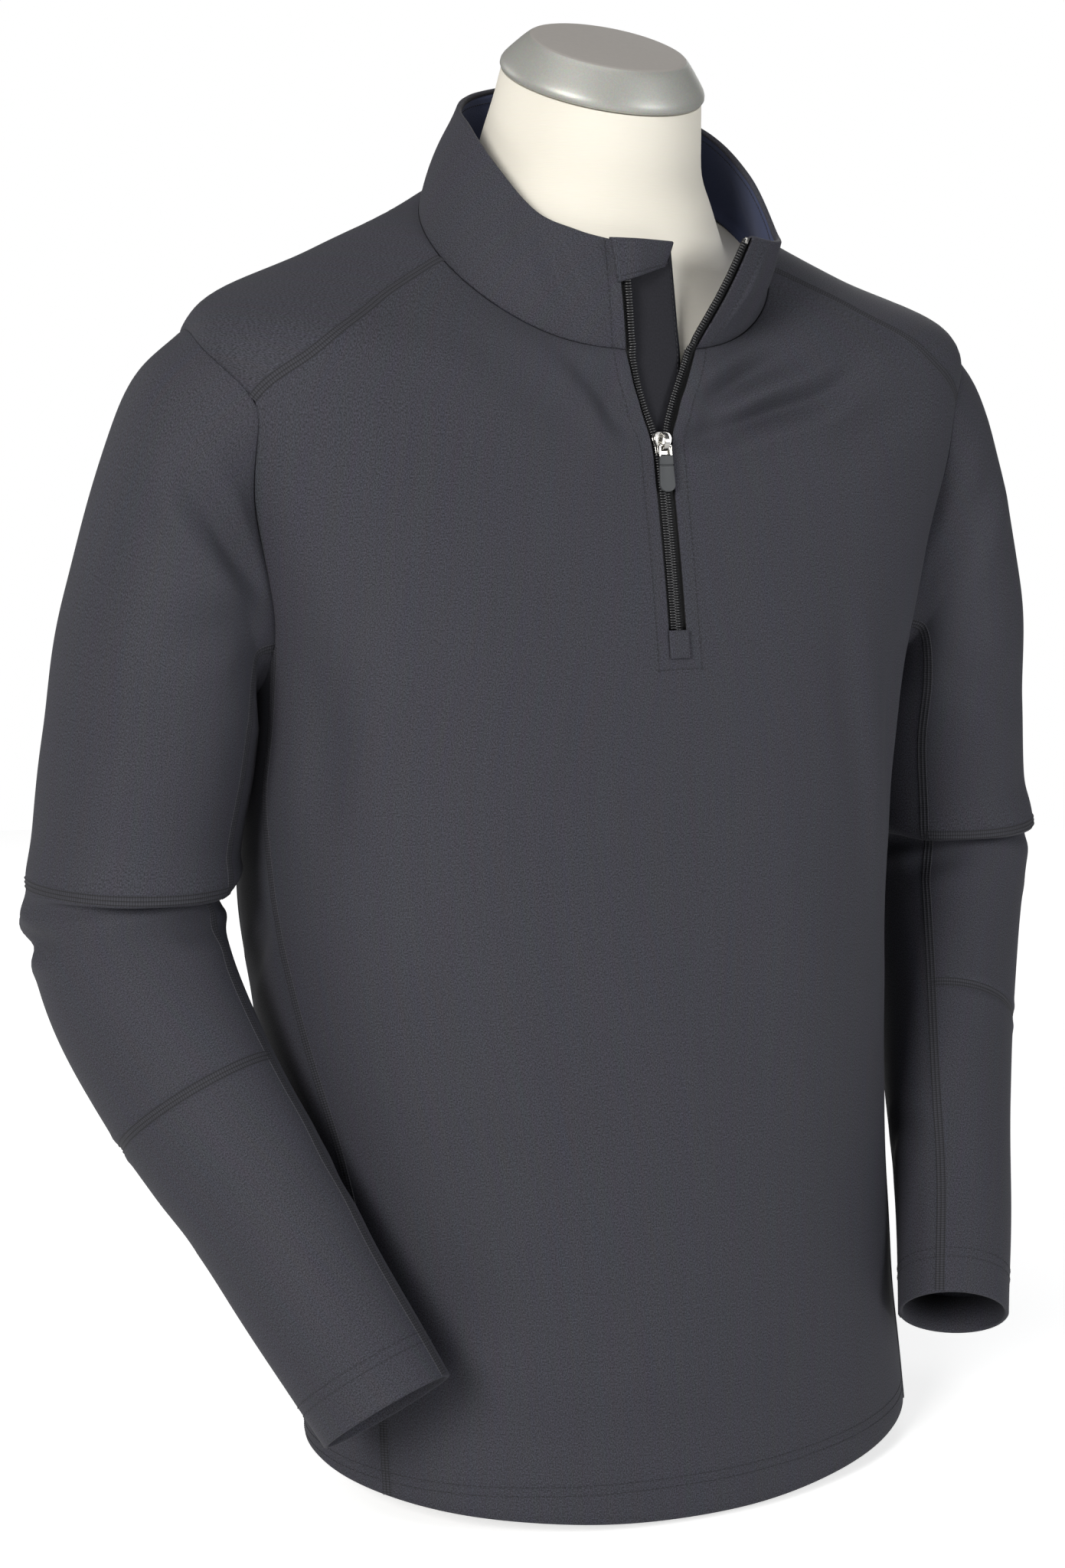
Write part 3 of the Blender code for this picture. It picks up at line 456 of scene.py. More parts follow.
def creased(grid, creases):
    """How far each point moves out for soft troughs (negative) and ridges along paths."""
    shift = np.zeros(grid.shape[:-1])
    for path, depth, width in creases:
        away, share = near_path(grid, path)
        fade = np.sin(np.pi * np.clip(share, 0.02, 0.98)) ** 0.8 * (away < 5 * width)
        ratio = away / width
        shift += depth * fade * (np.exp(-ratio**2) - 0.42 * np.exp(-((ratio - 1.9) / 0.9) ** 2))
    return shift


def seam_dip(grid, seams, depth=0.0004, reach=0.0018):
    """How far each point is drawn in beside seams."""
    shift = np.zeros(grid.shape[:-1])
    for path in seams:
        away, _ = near_path(grid, path)
        shift = np.minimum(shift, -depth * np.exp(-(away / reach) ** 2))
    return shift


def ease(grid):
    """Slow unevenness of cloth that hangs free, a fraction of a millimetre."""
    x, y, z = np.moveaxis(grid, -1, 0)
    waves = np.sin(31 * x + 17 * z + 1.3) * np.sin(23 * y - 29 * z + 0.4)
    waves += 0.6 * np.sin(67 * x - 41 * y + 37 * z) + 0.4 * np.sin(11 * x + 83 * z + 2.0)
    return 0.00045 * waves


jersey, tree, shader = new_material("charcoal double-knit jersey", "#434347", 0.72, Sheen_Weight=0.03,
                                    Sheen_Roughness=0.5, Specular_IOR_Level=0.22)
# Heathered yarn with lighter and darker fibres: needle loops 0.45 mm apart, drawn 0.6 mm wide and
# 0.9 mm high to show
uv = add(tree, "ShaderNodeUVMap").outputs["UV"]
loops = add(tree, "ShaderNodeMapping", [("Vector", uv)], Scale=(1600, 1150, 1))
yarn = add(tree, "ShaderNodeTexNoise", [("Vector", loops.outputs[0])], Scale=1.0, Detail=3.0,
           Roughness=0.65)
wales = add(tree, "ShaderNodeMapping", [("Vector", uv)], Scale=(260, 14, 1))
wale_noise = add(tree, "ShaderNodeTexNoise", [("Vector", wales.outputs[0])], Scale=1.0, Detail=2.0)
ramp = add(tree, "ShaderNodeValToRGB", [("Fac", yarn.outputs["Fac"])])
for stop, (position, colour) in zip(ramp.color_ramp.elements, ((0.37, "#242428"), (0.63, "#474750"))):
    stop.position, stop.color = position, linear(colour)
shade = add(tree, "ShaderNodeMixRGB",
            [("Color1", ramp.outputs[0]), ("Color2", wale_noise.outputs["Color"])],
            [("blend_type", "SOFT_LIGHT")], Fac=0.10)
tree.links.new(shade.outputs[0], shader.inputs["Base Color"])
bump = add(tree, "ShaderNodeBump", [("Height", yarn.outputs["Fac"])], Strength=0.12, Distance=0.0003)
tree.links.new(bump.outputs[0], shader.inputs["Normal"])


def cloth(name, grids, nodes, finish=jersey, slot="charcoal_jersey", thickness=JERSEY,
          above=()):
    """A thin shell of cloth on its outside surface.

    Grids lie side by side, and those above are joined along their top.
    """
    side_by_side = len(grids)
    grids = [*grids, *above]
    uvs = [lengths(grid) for grid in grids]
    made = add_piece(name, grid_mesh(name, grids, uvs), finish, slot, GARMENT, *nodes)
    solid = made.modifiers.new("Solidify", "SOLIDIFY")
    solid.thickness = thickness
    solid.offset = -1
    solid.use_even_offset = False
    length = max(np.ptp(uv[..., 1]) for uv in uvs[:side_by_side])
    length += max((np.ptp(uv[..., 1]) for uv in uvs[side_by_side:]), default=0)
    return made


# Columns: how far below the hem's edge, how far inside
HEM_TURN = ((0, 0.0026), (0.0007, 0.0019), (0.0007, 0.0006))


def turned_hem(grid, depth=0.020):
    """The grid with its first row turned up inside, as a hem of this depth."""
    out = outward(grid)[0]
    down = unit(grid[0] - grid[2])
    rows = [grid[0] + down * lower - out * inside for lower, inside in ((-depth, 0.0026), *HEM_TURN)]
    return np.concatenate([rows, grid])


front_seam = curve(SIDE_SEAM_FRONT + (tuple(armhole(FRONT_CORNER)),))
back_seam = curve(SIDE_SEAM_BACK + (tuple(armhole(BACK_CORNER)),))
shoulder_seam = curve(SHOULDER_SEAM)
left_slit, right_slit = slit_edge(LEFT_OPENING), slit_edge(RIGHT_OPENING)
# Columns: torso places along the crease, depth and half width in mm. Negative depths are troughs
BODY_CREASES = (
    (((14, 7.55), (27, 8.25), (40, 8.8), (56, 9.0)), -6.4, 7.5),
    (((7, 7.1), (20, 7.22), (36, 7.42), (52, 7.5), (62, 7.95)), -7.2, 7.0),
    (((50, 6.8), (60, 6.9), (70, 7.0)), -2.4, 10),
    (((-38, 9.7), (-25, 8.7), (-17, 7.75), (-11, 7.2)), -5.0, 7),
    (((-24, 9.9), (-19, 9.2), (-15, 8.6)), -2.2, 5),
    (((-62, 9.2), (-48, 8.3), (-36, 7.6), (-27, 7.1)), -1.9, 12),
    (((53, 5.7), (51, 4.9), (53, 4.0), (56, 3.1)), 2.6, 13),
    (((66, 5.6), (62, 4.8), (62, 4.0)), -2.2, 12),
    (((-72, 5.5), (-69, 4.6), (-69, 3.8)), -2.4, 13),
    (((-60, 5.6), (-57, 4.6), (-58, 3.6)), 1.4, 15),
    (((-82, 3.3), (-91, 3.0), (-100, 2.75)), -2.6, 8),
    (((84, 3.2), (92, 2.95), (99, 2.8)), -2.2, 9),
    (((-40, 3.6), (-36, 2.4), (-38, 1.0)), 1.3, 22),
    (((24, 4.4), (28, 3.0), (26, 1.2)), 1.1, 24),
    (((-64, 0.62), (-30, 0.52), (12, 0.58), (40, 0.7)), -1.8, 16),
    (((110, 5.6), (118, 4.9), (128, 4.2)), -2.6, 12),
    (((250, 5.7), (241, 4.8), (230, 4.1)), -3.0, 12),
    (((112, 6.6), (124, 6.2), (140, 6.0)), -1.8, 13),
    (((248, 6.8), (238, 6.3), (222, 6.2)), -2.2, 12),
    (((150, 3.4), (180, 3.05), (207, 3.3)), -2.4, 15),
    (((140, 2.3), (172, 2.0), (198, 2.15)), -1.8, 17),
    (((160, 9.1), (180, 8.85), (202, 9.15)), -1.9, 11),
    (((128, 8.6), (140, 7.8), (146, 6.8)), -1.5, 13),
)


def crease_paths(surface, rows, steps=24):
    """Creases as points along them on a surface, with depth and half width in metres."""
    return [(surface(curve(places, steps)), depth / 1000, width / 1000) for places, depth, width in rows]


body_creases = crease_paths(torso, BODY_CREASES)


def meeting(grid, seams, reach=0.007):
    """How freely cloth moves: 0 on a seam, where the edges of its panels have to meet, 1 away from it."""
    share = np.ones(grid.shape[:-1])
    for path in seams:
        share = np.minimum(share, 1 - np.exp(-(near_path(grid, path)[0] / reach) ** 2))
    return share


def body_shift(grid):
    loose = (creased(grid, body_creases) + ease(grid)) * meeting(grid, plain_seams)
    return loose + seam_dip(grid, plain_seams)


def body_panel(places):
    grid = torso(places)
    return grid + outward(grid) * body_shift(grid)[..., None]


def mirror_places(places):
    return places * (-1, 1)


front_armhole = armhole(np.linspace(FRONT_CORNER, SHOULDER_CORNER, FINE))
front_outer = chained(front_seam, front_armhole, shoulder_seam[::-1])
armhole_path = torso(armhole(np.linspace(0, 360, 121)))
neck_path = torso(line((angle_at(LEFT_OPENING[-1][1], 10), 10),
                       (360 - angle_at(RIGHT_OPENING[-1][1], 10), 10), 120))
FLIP = np.array((-1, 1, 1))
plain_seams = [armhole_path, armhole_path * FLIP, neck_path]


def half_front(slit):
    """The wearer's left half of the front, below the level of the slit's end and beside the slit."""
    rising = front_outer[:110, 1]  # up the side and the armhole
    cut = round(float(np.interp(SLIT_END_LEVEL, rising, np.arange(110))))
    corner = slit[0]
    across = line(corner, front_outer[cut])
    hem = line((corner[0], 0), front_outer[0])
    columns = spaced(66, 0.26)
    low = patch(line(hem[0], corner), hem, front_outer[:cut + 1], across, columns, np.linspace(0, 1, 62))
    top = line(slit[-1], SHOULDER_SEAM[0])
    high = patch(slit, across, front_outer[cut:], top, columns, spaced(58, 0.21))
    return low, high


low_left, high_left = half_front(left_slit)
low_right, high_right = (mirror_places(places)[:, ::-1] for places in half_front(right_slit))
middle = np.stack((low_right[:, -1], low_left[:, 0] * (0, 1), low_left[:, 0]), axis=1)
cloth("front_cloth", [turned_hem(body_panel(places)) for places in (low_right, middle, low_left)],
      ["front"], above=[body_panel(high_right), body_panel(high_left)])


def around_back(places):
    return np.stack((360 - places[..., 0], places[..., 1]), axis=-1)


back_left = chained(back_seam, armhole(np.linspace(BACK_CORNER, SHOULDER_CORNER + 360, FINE)))
back_right = around_back(back_left)
back_neck = line(SHOULDER_SEAM[0], around_back(np.array(SHOULDER_SEAM[0])))
back_top = chained(shoulder_seam[::-1], back_neck, around_back(shoulder_seam))
back_places = patch(back_left, line(back_left[0], back_right[0]), back_right, back_top,
                    spaced(110, 0.45), spaced(118, 0.66))
cloth("back_cloth", [turned_hem(body_panel(back_places))], ["back"])

underarm = armhole(np.linspace(FRONT_CORNER, BACK_CORNER, FINE))
side_places = patch(front_seam, line(front_seam[0], back_seam[0]), back_seam, underarm,
                    spaced(26, 0.14), spaced(92, 0.47))
cloth("side_cloth_left", [turned_hem(body_panel(side_places))], ["side_panel_left"])
right_side = mirror_places(side_places)[:, ::-1]
cloth("side_cloth_right", [turned_hem(body_panel(right_side))],
      ["side_panel_right"])

# ---- Sleeves. The same jersey. Each has a top sleeve cut in three at the elbow, which gives the arm
# its bend, and an under sleeve from armhole to cuff. The cuff is a turned hem.
# Columns: centre x, y, z, half width sideways and fore-and-aft, then the ring's tilt out and forward
SLEEVE = (
    (0.240, 0.037, 0.536, 0.088, 0.062, 68, 0),
    (0.257, 0.046, 0.475, 0.061, 0.069, 38, 0),
    (0.264, 0.054, 0.420, 0.055, 0.067, 15, 0),
    (0.270, 0.057, 0.375, 0.054, 0.064, 6, 4),
    (0.275, 0.056, 0.335, 0.055, 0.062, 0, 12),
    (0.270, 0.047, 0.293, 0.053, 0.058, -12, 24),
    (0.253, 0.015, 0.240, 0.048, 0.051, -20, 32),
    (0.228, -0.028, 0.184, 0.0425, 0.045, -23, 35),
    (0.206, -0.069, 0.131, 0.0390, 0.040, -22, 35),
    (0.182, -0.106, 0.079, 0.0365, 0.036, -20, 35),
)
ELBOW_TOP, ELBOW_BOTTOM, CUFF_LEVEL, CUFF_TURN = 4.6, 7.2, 10.0, 0.022
# The upper arm's cloth sags over the elbow seam in front, and the cloth below it is tucked in.
# Columns: size in metres, level, spread
FOLD_OUT, FOLD_IN, FOLD_SAG = (0.0040, 4.60, 0.26), (0.0058, 5.00, 0.20), (0.0125, 4.66, 0.19)
FOLD_MIDDLE, FOLD_REACH = 85, 125  # its turn, and how far round it runs to each side
FULL_ARM, FULL_TURN = 0.0075, 160  # the upper arm is fuller in front, on the side of the body
# Columns: places (turn, level) along the crease, depth and half width in mm
SLEEVE_CREASES_RIGHT = (
    (((52, 1.0), (75, 0.95), (99, 0.65), (117, 0.1)), -5.8, 8.5),
    (((70, 2.0), (100, 1.5), (128, 0.8)), -2.4, 11),
    (((-70, 5.00), (-30, 5.02), (10, 4.96)), 3.8, 7),
    (((-60, 5.28), (-20, 5.36), (30, 5.30)), -3.6, 6),
    (((-100, 7.2), (-40, 7.2), (30, 7.2), (100, 7.2), (132, 7.2)), -1.3, 3.5),
    (((-30, 5.02), (10, 5.32), (45, 5.5)), -3.4, 7),
    (((-60, 4.9), (-20, 5.2), (20, 5.1)), 2.6, 8),
    (((85, 5.35), (118, 5.6), (150, 5.55)), -3.0, 8),
    (((120, 5.0), (165, 4.85), (215, 5.0)), -5.0, 7),
    (((200, 2.3), (235, 1.6), (262, 1.0)), -3.2, 11),
    (((250, 3.6), (285, 4.2), (320, 4.5)), -2.0, 10),
    (((150, 8.4), (185, 8.2), (220, 8.4)), -1.8, 8),
    (((330, 8.3), (10, 8.0), (50, 8.2)), -0.9, 14),
)
SLEEVE_CREASES_LEFT = (
    (((48, 1.1), (72, 1.0), (100, 0.7), (120, 0.15)), -3.4, 11),
    (((-70, 5.00), (-30, 5.04), (10, 5.00)), 2.4, 8),
    (((-100, 7.2), (-40, 7.2), (30, 7.2), (100, 7.2), (132, 7.2)), -1.3, 3.5),
    (((100, 5.25), (128, 5.5), (152, 5.6)), -3.0, 8),
    (((120, 5.0), (165, 4.9), (215, 5.1)), -4.6, 7),
    (((205, 2.2), (238, 1.5), (265, 0.9)), -3.0, 11),
    (((245, 3.5), (280, 4.1), (318, 4.5)), -2.2, 10),
    (((-40, 5.1), (0, 5.4), (40, 5.5)), -2.6, 8),
    (((60, 2.9), (95, 2.5), (130, 2.0)), -1.8, 12),
    (((140, 8.7), (180, 8.4), (215, 8.6)), -1.6, 8),
)


def sleeve(places):
    """Points on the outside of the left sleeve. A place is (turn, level); level 0 is the armhole."""
    flat = np.asarray(places, float).reshape(-1, 2)
    turn = np.radians(flat[:, :1])
    rings = [torso(armhole(flat[:, 0]))]
    for x, y, z, out, front, tilt, pitch in SLEEVE:
        tilt, pitch = math.radians(tilt), math.radians(pitch)
        aside = np.array((math.cos(tilt), 0, math.sin(tilt)))
        ahead = np.array((0, -math.cos(pitch), math.sin(pitch)))
        rings.append(np.array((x, y, z)) + out * np.cos(turn) * aside + front * np.sin(turn) * ahead)
    level = flat[:, 1]
    points = row_at(rings, level, own_column=True)
    middle = row_at([row[:3] for row in SLEEVE], level - 1)
    away = unit((points - middle) * (1, 1, 0.3))
    front_turn = (flat[:, 0] + 90) % 360 - 90
    reach = 0.5 + 0.5 * np.cos(np.pi * np.clip(np.abs(front_turn - FOLD_MIDDLE) / FOLD_REACH, 0, 1))
    bulge, tuck, sag = (size * np.exp(-((level - centre) / spread) ** 2)
                        for size, centre, spread in (FOLD_OUT, FOLD_IN, FOLD_SAG))
    moved = (bulge - tuck)[:, None] * away - sag[:, None] * np.array((0, 0.1, 1))
    points = points + reach[:, None] * moved
    inner_side = np.clip(np.cos(np.radians(flat[:, 0] - FULL_TURN)), 0, 1) ** 1.5
    inner_side *= np.clip((level - 0.9) / 1.2, 0, 1) * np.clip((5.2 - level) / 0.8, 0, 1)
    points = points + FULL_ARM * inner_side[:, None] * away
    return points.reshape(*np.shape(places)[:-1], 3)


def sleeve_places(first, last, top, bottom):
    """Places of a panel between two turns and two levels, about 3 mm apart."""
    wide, high = last - first, bottom - top
    turns = spaced(int(wide / 3.4), math.radians(wide) * 0.055) * wide + first
    levels = spaced(int(high * 19), high * 0.065) * high + top
    return np.stack(np.meshgrid(turns, levels), axis=-1)


SLEEVE_PANELS = (
    ("top_sleeve_upper", -135, 135, 0, ELBOW_TOP),
    ("top_sleeve_elbow", -135, 135, ELBOW_TOP, ELBOW_BOTTOM),
    ("top_sleeve_lower", -135, 135, ELBOW_BOTTOM, CUFF_LEVEL),
    ("under_sleeve", 135, 225, 0, CUFF_LEVEL),
)
sleeve_creases = {"left": crease_paths(sleeve, SLEEVE_CREASES_LEFT),
                  "right": crease_paths(sleeve, SLEEVE_CREASES_RIGHT)}


def sleeve_shift(grid, side):
    loose = (creased(grid, sleeve_creases[side]) + 0.8 * ease(grid)) * meeting(grid, [armhole_path])
    return loose + seam_dip(grid, [armhole_path])


for side in ("left", "right"):
    for name, first, last, top, bottom in SLEEVE_PANELS:
        grid = sleeve(sleeve_places(first, last, top, bottom))
        grid = grid + outward(grid) * sleeve_shift(grid, side)[..., None]
        # The rows then run up the arm, from the cuff
        grid = grid[::-1, ::-1]
        if bottom == CUFF_LEVEL:
            grid = turned_hem(grid, CUFF_TURN)
        if side == "right":
            grid = grid[:, ::-1] * FLIP
        cloth(f"{name}_cloth_{side}", [grid], [f"{name}_{side}"])

# ---- Flatlock seams. Shoulder, side, elbow and sleeve seams are covered by three rows of looped
# thread, 5.5 mm wide over all, standing a little proud of the jersey.
# Columns: how far across the seam, how far proud, in mm
FLATLOCK = (
    (-3.0, -0.35), (-2.75, 0.10), (-2.3, 0.62), (-1.8, 0.14), (-1.1, 0.16), (-0.5, 0.18), (0, 0.66),
    (0.5, 0.18), (1.1, 0.16), (1.8, 0.14), (2.3, 0.62), (2.75, 0.10), (3.0, -0.35),
)


def run_along(surface, places, spacing):
    """Places spaced evenly along a surface, and how far each lies from the start."""
    dense = curve(places, 600)
    steps = np.linalg.norm(np.diff(surface(dense), axis=0), axis=1)
    travel = np.concatenate([[0], np.cumsum(steps)])
    even = np.linspace(0, travel[-1], max(round(travel[-1] / spacing), 2) + 1)
    return np.stack([np.interp(even, travel, dense[:, k]) for k in (0, 1)], axis=-1), even


def facing(surface, places, beside=0.5):
    """Points on a surface, and the directions out of it there and along the run of places.

    The directions come from places this far beside each one.
    """
    points = surface(places)
    across = surface(places + (beside, 0)) - surface(places - (beside, 0))
    along = surface(places + (0, 0.02)) - surface(places - (0, 0.02))
    return points, unit(np.cross(across, along)), unit(np.gradient(points, axis=0))


def ribbon(surface, places, shift, profile):
    """A strip along places of a creased surface, with its UVs across and along in metres."""
    run, travel = run_along(surface, places, 0.0024)
    points, out, ahead = facing(surface, run)
    reach, proud = np.array(profile).T / 1000
    grid = points[:, None] + np.cross(ahead, out)[:, None] * reach[None, :, None]
    grid = grid + out[:, None] * (shift(grid) + proud)[..., None]
    return grid, np.stack(np.broadcast_arrays(reach[None], travel[:, None]), axis=-1)


flatlock, tree, shader = new_material("flatlock seam thread", "#3b3b40", 0.7, Sheen_Weight=0.03,
                                      Specular_IOR_Level=0.35)
# Loops of textured nylon thread: dark rows 2.3 mm apart on the heathered ground. The loops are
# 0.9 mm long and drawn 1.5 mm long to show
uv = add(tree, "ShaderNodeUVMap").outputs["UV"]
apart = add(tree, "ShaderNodeSeparateXYZ", [("Vector", uv)])
scaled = add(tree, "ShaderNodeMapRange", [("Value", apart.outputs["X"])], From_Min=-0.0029,
             From_Max=0.0029)
rows = add(tree, "ShaderNodeValToRGB", [("Fac", scaled.outputs["Result"])])
stops = rows.color_ramp.elements
stops[0].position, stops[1].position = 0.0, 1.0
for position in (0.04, 0.10, 0.18, 0.42, 0.50, 0.58, 0.82, 0.90, 0.96):
    stops.new(position)
for stop in stops:
    dark = min(abs(stop.position - row) for row in (0.10, 0.50, 0.90)) < 0.01
    stop.color = linear("#17171a") if dark else linear("#34343a")
slant = add(tree, "ShaderNodeMapping", [("Vector", uv)], Scale=(300, 670, 1))
waves = add(tree, "ShaderNodeTexWave", [("Vector", slant.outputs[0])], [("bands_direction", "Y")],
            Scale=0.32, Distortion=1.2)
tone = add(tree, "ShaderNodeMixRGB", [("Color1", rows.outputs[0]), ("Color2", waves.outputs["Color"])],
           [("blend_type", "SOFT_LIGHT")], Fac=0.35)
tree.links.new(tone.outputs[0], shader.inputs["Base Color"])
bump = add(tree, "ShaderNodeBump", [("Height", waves.outputs["Fac"])], Strength=0.5, Distance=0.0003)
tree.links.new(bump.outputs[0], shader.inputs["Normal"])

# Ends of each seam of a sleeve
SLEEVE_SEAMS = (
    ((-135, ELBOW_TOP), (135, ELBOW_TOP)), ((-135, ELBOW_BOTTOM), (135, ELBOW_BOTTOM)),
    ((135, 0.03), (135, CUFF_LEVEL)), ((225, 0.03), (225, CUFF_LEVEL)),
)
seams = []
for mirror, side in ((1, "left"), (-1, "right")):
    for run in (shoulder_seam, front_seam, back_seam):
        seams.append(ribbon(torso, run * (mirror, 1), body_shift, FLATLOCK))
    for run in SLEEVE_SEAMS:
        grid, uv = ribbon(sleeve, line(*run), lambda points: sleeve_shift(points, side), FLATLOCK)
        if mirror < 0:
            grid, uv = grid[:, ::-1] * FLIP, uv[:, ::-1]
        seams.append((grid, uv))
# Inside the armholes and the neck seam lie the trimmed edges of the panels
ALLOWANCE = ((-4.0, -2.1), (-2.0, -1.9), (0, -1.8), (2.0, -1.9), (4.0, -2.1))
armhole_run = armhole(np.linspace(0, 360, 121))
neck_run = line((left_slit[-1][0], 9.99), (360 - right_slit[-1][0], 9.99))
hidden = [ribbon(torso, run, lambda points: 0, ALLOWANCE)
          for run in (armhole_run, armhole_run * (-1, 1), neck_run)]
for name, runs, finish in (("seam_allowances", hidden, jersey), ("flatlock_seams", seams, flatlock)):
    add_piece(name, grid_mesh(name, *zip(*runs), weld=False), finish, "charcoal_jersey", GARMENT)

# ---- Collar. A stand collar of two layers, charcoal outside and navy inside, rolled over at the top.
# Its front ends follow the open zip, and the wearer's left end is turned outwards.
COLLAR_BOW = 0.003  # how far it bulges half way up
COLLAR_BESIDE = 0.004  # a share of its length, about 2 mm
# Columns: x, y, z of the top edge, from the wearer's left end round the back to the right end
COLLAR_TOP = (
    (0.053, -0.076, 0.706), (0.079, -0.060, 0.705), (0.092, -0.034, 0.714), (0.092, -0.002, 0.748),
    (0.085, 0.040, 0.777), (0.055, 0.077, 0.795), (0.000, 0.094, 0.803), (-0.045, 0.081, 0.796),
    (-0.071, 0.050, 0.784), (-0.078, 0.018, 0.770), (-0.073, -0.009, 0.746), (-0.060, -0.033, 0.720),
    (-0.042, -0.049, 0.709), (-0.024, -0.060, 0.703),
)
# Shares of the collar's length where its lower edge meets the shoulder seams, and the angles there
COLLAR_KNOTS = (0, 8 / 28, 20 / 28, 1)
COLLAR_ANGLES = (left_slit[-1][0], SHOULDER_SEAM[0][0], 360 - SHOULDER_SEAM[0][0],
                 360 - right_slit[-1][0])
# How the outer layer turns over the top edge: mm inwards and up
ROLL = ((0.35, 0.65), (1.1, 1.1), (2.1, 1.15), (3.0, 0.75), (3.5, 0.0), (3.65, -1.6))
INNER_DEPTH = 0.0024


def collar(places):
    """Points on the collar's outside. A place is a share of its length and of its height."""
    along, up = places[..., 0], places[..., 1]
    angle = np.interp(along, COLLAR_KNOTS, COLLAR_ANGLES)
    low = torso(np.stack((angle, np.full(angle.shape, 10.0)), axis=-1))
    high = row_at(COLLAR_TOP, (len(COLLAR_TOP) - 1) * along)
    out = unit(low * (1, 1, 0) - (0, 0.015, 0))
    bow = COLLAR_BOW * np.sin(np.pi * np.clip(up, 0, 1))
    return low + (high - low) * up[..., None] + out * bow[..., None]


# Columns: places (share along, share up) of each crease, depth and half width in mm
COLLAR_CREASES = (
    (((0.855, 0.95), (0.885, 0.55), (0.935, 0.05)), -1.8, 6),
    (((0.800, 0.95), (0.805, 0.70), (0.815, 0.45)), -1.2, 5),
    (((0.905, 0.90), (0.945, 0.50), (0.960, 0.15)), 0.9, 6),
    (((0.060, 0.90), (0.085, 0.50), (0.075, 0.10)), -1.6, 6),
    (((0.040, 0.97), (0.043, 0.50), (0.036, 0.08)), 0.7, 2.2),
    (((0.150, 0.90), (0.170, 0.50), (0.200, 0.15)), -1.2, 7),
    (((0.400, 0.85), (0.430, 0.50), (0.420, 0.20)), -1.0, 8),
    (((0.620, 0.80), (0.600, 0.50), (0.610, 0.15)), -1.1, 8),
)
collar_creases = crease_paths(collar, COLLAR_CREASES, steps=16)
# A folded strip covers the wearer's right end, from this share of the length
STRIP_START, STRIP_RISE, STRIP_WIDTH = 0.9735, 0.0009, 0.0152
strip_edge = collar(line((STRIP_START, 0.0), (STRIP_START, 1.0), 12))
strip_end = collar(line((1.0, 0.0), (1.0, 1.0), 12))


def collar_shift(grid):
    loose = (creased(grid, collar_creases) + 0.5 * ease(grid)) * meeting(grid, [neck_path])
    from_edge, from_end = near_path(grid, strip_edge)[0], near_path(grid, strip_end)[0]
    in_strip = np.clip((from_edge + STRIP_WIDTH / 2 - from_end) / STRIP_WIDTH, 0, 1)
    strip = STRIP_RISE * np.clip((in_strip - 0.46) / 0.08, 0, 1) * (from_end < 0.02)
    return loose + strip + seam_dip(grid, [neck_path])


collar_columns = spaced(230, 0.46)
outer = collar(np.stack(np.meshgrid(collar_columns, spaced(26, 0.055)), axis=-1))
collar_out = outward(outer)
outer = outer + collar_out * collar_shift(outer)[..., None]
collar_up = unit(outer[-1] - outer[-4])
roll = [outer[-1] - collar_out[-1] * inward / 1000 + collar_up * up / 1000 for inward, up in ROLL]
outer = np.concatenate([outer, roll])
collar_outer = cloth("collar_outer_cloth", [outer], ["collar_outer"])

navy, tree, shader = new_material("navy double-knit jersey", "#3a4058", 0.8, Sheen_Weight=0.05,
                                  Specular_IOR_Level=0.28)
# The plain-dyed back of the same knit: needle loops drawn 0.9 mm apart to show
uv = add(tree, "ShaderNodeUVMap").outputs["UV"]
loops = add(tree, "ShaderNodeMapping", [("Vector", uv)], Scale=(1100, 800, 1))
yarn = add(tree, "ShaderNodeTexNoise", [("Vector", loops.outputs[0])], Scale=1.0, Detail=2.0)
tone = add(tree, "ShaderNodeMixRGB", [("Fac", yarn.outputs["Fac"])], Color1=linear("#333950"),
           Color2=linear("#424966"))
tree.links.new(tone.outputs[0], shader.inputs["Base Color"])
bump = add(tree, "ShaderNodeBump", [("Height", yarn.outputs["Fac"])], Strength=0.35, Distance=0.0004)
tree.links.new(bump.outputs[0], shader.inputs["Normal"])
inner_places = np.stack(np.meshgrid(collar_columns[1:-1], np.linspace(0.04, 0.975, 26)), axis=-1)
inner = collar(inner_places)
end_room = 0.0012 * sum(np.exp(-((inner_places[..., 0] - end) / 0.03) ** 2) for end in (0, 1))
inner = inner + outward(inner) * (collar_shift(inner) - INNER_DEPTH - end_room)[..., None]
# Its lower edge turns in, down to the form's neck
neck_out, neck_up = outward(inner)[0], unit(inner[3] - inner[0])
neck_turn = [inner[0] - neck_out * inwards / 1000 - neck_up * down / 1000
             for inwards, down in ((4.5, 9.5), (2.4, 7.0), (0.9, 3.6))]
inner = np.concatenate([neck_turn, inner])
cloth("collar_inner_cloth", [inner], ["collar_inner"], navy, "navy_jersey")

# ---- Zip tapes. Black woven polyester tape sewn behind the edges of the opening, with a nylon coil
# along its edge, closed below the slider and open above it.
# The tape's thickness, how far it lies behind the cloth, and how far it reaches behind and past the edge
TAPE, TAPE_DEPTH, TAPE_UNDER, TAPE_OUT = 0.0009, 0.0023, 0.006, 0.0054
COIL_PITCH, TOOTH_LENGTH = 0.00150, 0.0044  # both given so that the turns show
woven, tree, shader = new_material("black woven polyester tape", "#131314", 0.72, Specular_IOR_Level=0.4)
